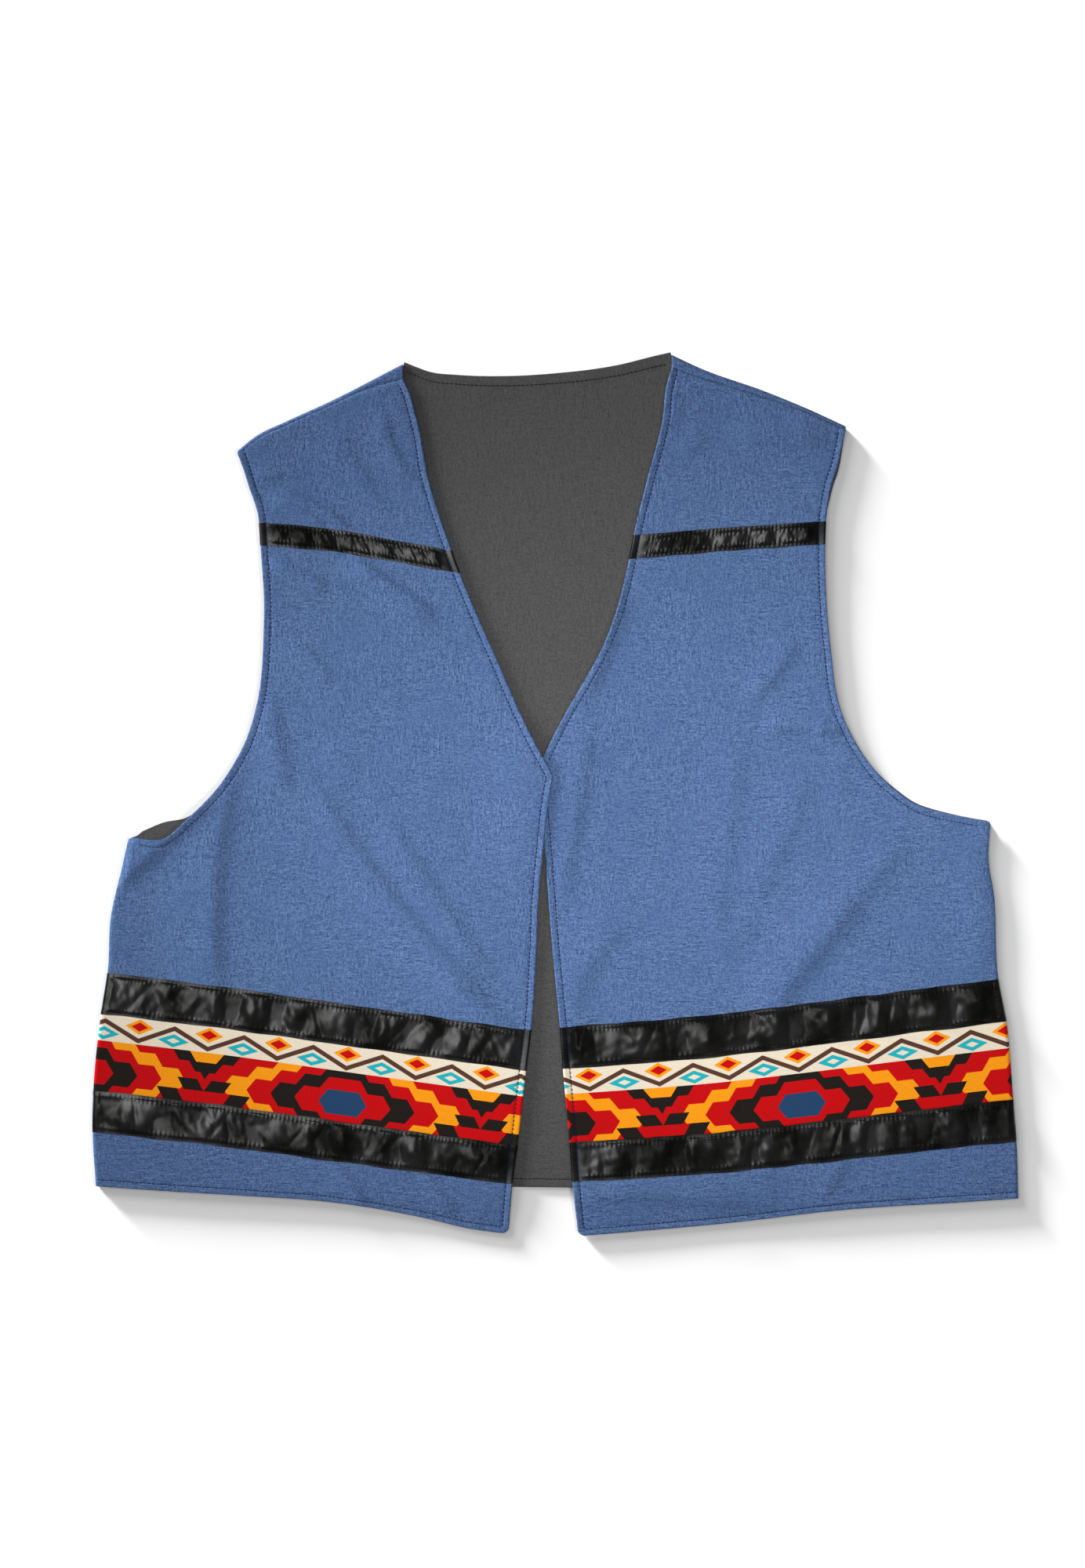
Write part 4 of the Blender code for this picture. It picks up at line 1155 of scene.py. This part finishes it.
colour = blend_colours(tree, zigzag_line, colour, BROWN)
under_peak = plain(calc(tree, "SUBTRACT", WAVE, wave), Diamond(40.5, 11.0, 4.6, 0.0))
over_dip = plain(wave, Diamond(47.3, 10.0, 5.4, 0.0))
colour = painted(colour, (under_peak, 1.0, TEAL), (under_peak, 0.42, CREAM),
                 (over_dip, 1.0, ORANGE), (over_dip, 0.6, RED))
faded = blend_colours(tree, stretch_range(tree, printed.tone, 0.2, 0.8, 0.0, FADING), colour, BROWN)
tree.links.new(faded, printed.surface.inputs["Base Color"])
add_relief(printed, printed.tone, PRINT_RELIEF)

for front in FRONTS:
    foot, top = front.at("print_foot") - PRINT_UNDER, front.at("print_top") + PRINT_UNDER
    stations = np.linspace(foot, top, int((top - foot) / PRINT_STEP))
    base = front_surface(front, stations, front_columns(FRONT_EDGE_STEPS[1:], PRINT_STEP))
    along = lengths(base[len(stations) // 2])
    texture = np.stack(np.broadcast_arrays(along[None, :] + PRINT_START[front.side],
                                           (stations - foot - PRINT_UNDER)[:, None]), axis=-1)
    grid = raise_from(base, np.full(base.shape[:2], PRINT_LIFT))
    piece = add_sheet("print_band_cloth_" + front.side, grid, PRINT_WALL, printed, texture)
    dress(piece, "print_band_" + front.side)


# Topstitching: navy thread round the armholes, the neck, the centre edges and the hem, and black thread
# on the lining at the back neck and the back hem.
STITCH = 2.5
STITCH_GAP = 0.45
STITCH_THREAD = 0.29
STITCH_SIDES = 6
STITCH_SWELL = np.array([0.45, 0.9, 1.0, 0.9, 0.45])
STITCH_ARCH = np.array([-0.1, 0.12, 0.18, 0.12, -0.1])
COVER_EASE = 0.6
COVER_CLEAR = 0.1
navy_thread = new_thread("navy_thread", (0.006, 0.011, 0.042))


def row_of_stitches(line):
    """Stitches along a line of points on the cloth's upper face: short threads that arch out of it and
    dip back in, each a few rings."""
    count = int(lengths(line)[-1] / (STITCH + STITCH_GAP))
    start = np.arange(count) * (STITCH + STITCH_GAP)
    at = start[:, None] + STITCH * np.linspace(0.0, 1.0, len(STITCH_SWELL))
    points = along_line(line, at.ravel()).reshape(count, len(STITCH_SWELL), 3)
    points = points + (STITCH_ARCH[:, None] * UP)
    radius = np.broadcast_to(STITCH_THREAD * STITCH_SWELL, points.shape[:2])
    return tube(points, np.broadcast_to(UP, points.shape), radius, STITCH_SIDES)


def trim_cover(front, stations):
    """Extra height of the ribbons and bands over the cloth at each station."""
    cover = np.zeros(len(stations))
    for foot, top in (("chest_ribbon_foot", "chest_ribbon_top"), ("lower_ribbon_foot", "upper_ribbon_top")):
        cover += (ease((stations - front.at(foot) + COVER_EASE / 2) / COVER_EASE)
                  * ease((front.at(top) + COVER_EASE / 2 - stations) / COVER_EASE))
    return cover * (RIBBON_LIFT + RIBBON_WALL / 2 - CHAMBRAY_WALL / 2 + COVER_CLEAR)


ROW_STEP = 0.5
ROW_START = 4.0
ROW_END = 2.0
HEM_PLACES = 500
NONE = np.zeros(0)
SEWN = np.array([FRONT_STITCH])
for front, width, length, area in FRONT_CUTS:
    top = front.knots[-1] - ROW_END
    armhole = np.arange(front.at("underarm") + ROW_START, top, ROW_STEP)
    centre = np.arange(FRONT_STITCH, top, ROW_STEP)
    lines = []
    for stations, columns in ((armhole, (SEWN, NONE, NONE)), (centre, (NONE, NONE, SEWN))):
        line = front_surface(front, stations, columns)[:, 0]
        line[:, 2] += CHAMBRAY_WALL / 2 + trim_cover(front, stations)
        lines.append(line)
    columns = (np.arange(1.0, BAND, ROW_STEP), np.linspace(0.0, 1.0, HEM_PLACES),
               np.arange(BAND, FRONT_STITCH, -ROW_STEP))
    lines.append(front_surface(front, SEWN, columns)[0] + UP * CHAMBRAY_WALL / 2)
    rings = np.concatenate([row_of_stitches(line) for line in lines])
    piece = add_threads("topstitching_" + front.side, rings, navy_thread)
    dress(piece)

rows = [row_of_stitches(row + UP * LINING_WALL / 2) for row in (lining_neck_row, lining_hem_row)]
lining_stitches = add_threads("lining_stitching", np.concatenate(rows), black_thread)
dress(lining_stitches)


# Floor, light and camera: a plain white surface and the camera straight above. From the upper left come a
# low sun that draws out the creases and two suns that give the floor its even shadow; a softbox, a fill and
# a pool of light on the middle of the cloth add the rest.
FLOOR_REACH = 4.0
FLOOR_WHITE = 0.9
WORLD_LIGHT = 0.07
corners = [(x * FLOOR_REACH, y * FLOOR_REACH, 0.0) for x, y in ((-1, -1), (1, -1), (1, 1), (-1, 1))]
floor_mesh = bpy.data.meshes.new("floor")
floor_mesh.from_pydata(corners, [], [(0, 1, 2, 3)])
floor = bpy.data.objects.new("floor", floor_mesh)
scene.collection.objects.link(floor)
pale, _, surface = new_shader("pale_floor", 0.9, 0.5)
surface.inputs["Base Color"].default_value = (FLOOR_WHITE, FLOOR_WHITE, FLOOR_WHITE, 1.0)
floor_mesh.materials.append(pale)

world = bpy.data.worlds.new("studio")
world.use_nodes = True
background = world.node_tree.nodes["Background"]
background.inputs["Color"].default_value = (1.0, 1.0, 1.0, 1.0)
background.inputs["Strength"].default_value = WORLD_LIGHT
scene.world = world
scene.view_settings.view_transform = "Standard"

Lamp = namedtuple("Lamp", "name kind x y z size energy shines lights")
LAMPS = (
    Lamp("cloth_sun", "SUN", -2.0, 0.65, 0.56, 0.4, 6.8, False, "cloth"),
    Lamp("floor_sun_low", "SUN", -1.93, 2.07, 0.35, 0.16, 13.0, False, "floor"),
    Lamp("floor_sun_high", "SUN", -1.93, 2.07, 1.09, 0.42, 1.9, False, "floor"),
    Lamp("softbox", "AREA", -1.0, 0.4, 2.85, 1.5, 18.0, True, "both"),
    Lamp("fill", "AREA", 1.4, -0.4, 2.5, 1.0, 24.0, False, "both"),
    Lamp("pool", "SPOT", 0.045, -0.022, 2.0, 0.33, 114.0, False, "cloth"),
)
POOL_SOFT = 0.1
POOL_STRETCH = 1.5
lit = {"floor": [floor], "cloth": [piece for piece in scene.objects
                                   if piece.type == "MESH" and piece is not floor]}
for lamp in LAMPS:
    data = bpy.data.lights.new(lamp.name, lamp.kind)
    data.energy = lamp.energy
    if lamp.kind == "SUN":
        data.angle = lamp.size
    elif lamp.kind == "SPOT":
        data.spot_size = lamp.size
        data.spot_blend = 1.0
        data.shadow_soft_size = POOL_SOFT
    else:
        data.size = lamp.size
    light = bpy.data.objects.new(lamp.name, data)
    light.location = (lamp.x, lamp.y, lamp.z)
    if lamp.kind == "SPOT":
        light.scale = (POOL_STRETCH, 1.0, 1.0)
    else:
        light.rotation_mode = "QUATERNION"
        light.rotation_quaternion = (-light.location).to_track_quat("-Z", "Y")
    light.visible_glossy = lamp.shines
    scene.collection.objects.link(light)
    if lamp.lights in lit:
        light.light_linking.receiver_collection = bpy.data.collections.new("lit_by_" + lamp.name)
        for piece in lit[lamp.lights]:
            light.light_linking.receiver_collection.objects.link(piece)

FRAME_TALL = 1.1
CAMERA_X = -0.0091
CAMERA_Y = 0.0080
CAMERA_HEIGHT = 3.2
SENSOR = 36.0
camera_data = bpy.data.cameras.new("camera")
camera_data.sensor_width = SENSOR
camera_data.lens = SENSOR * CAMERA_HEIGHT / FRAME_TALL
camera = bpy.data.objects.new("camera", camera_data)
camera.location = (CAMERA_X, CAMERA_Y, CAMERA_HEIGHT)
scene.collection.objects.link(camera)
scene.camera = camera
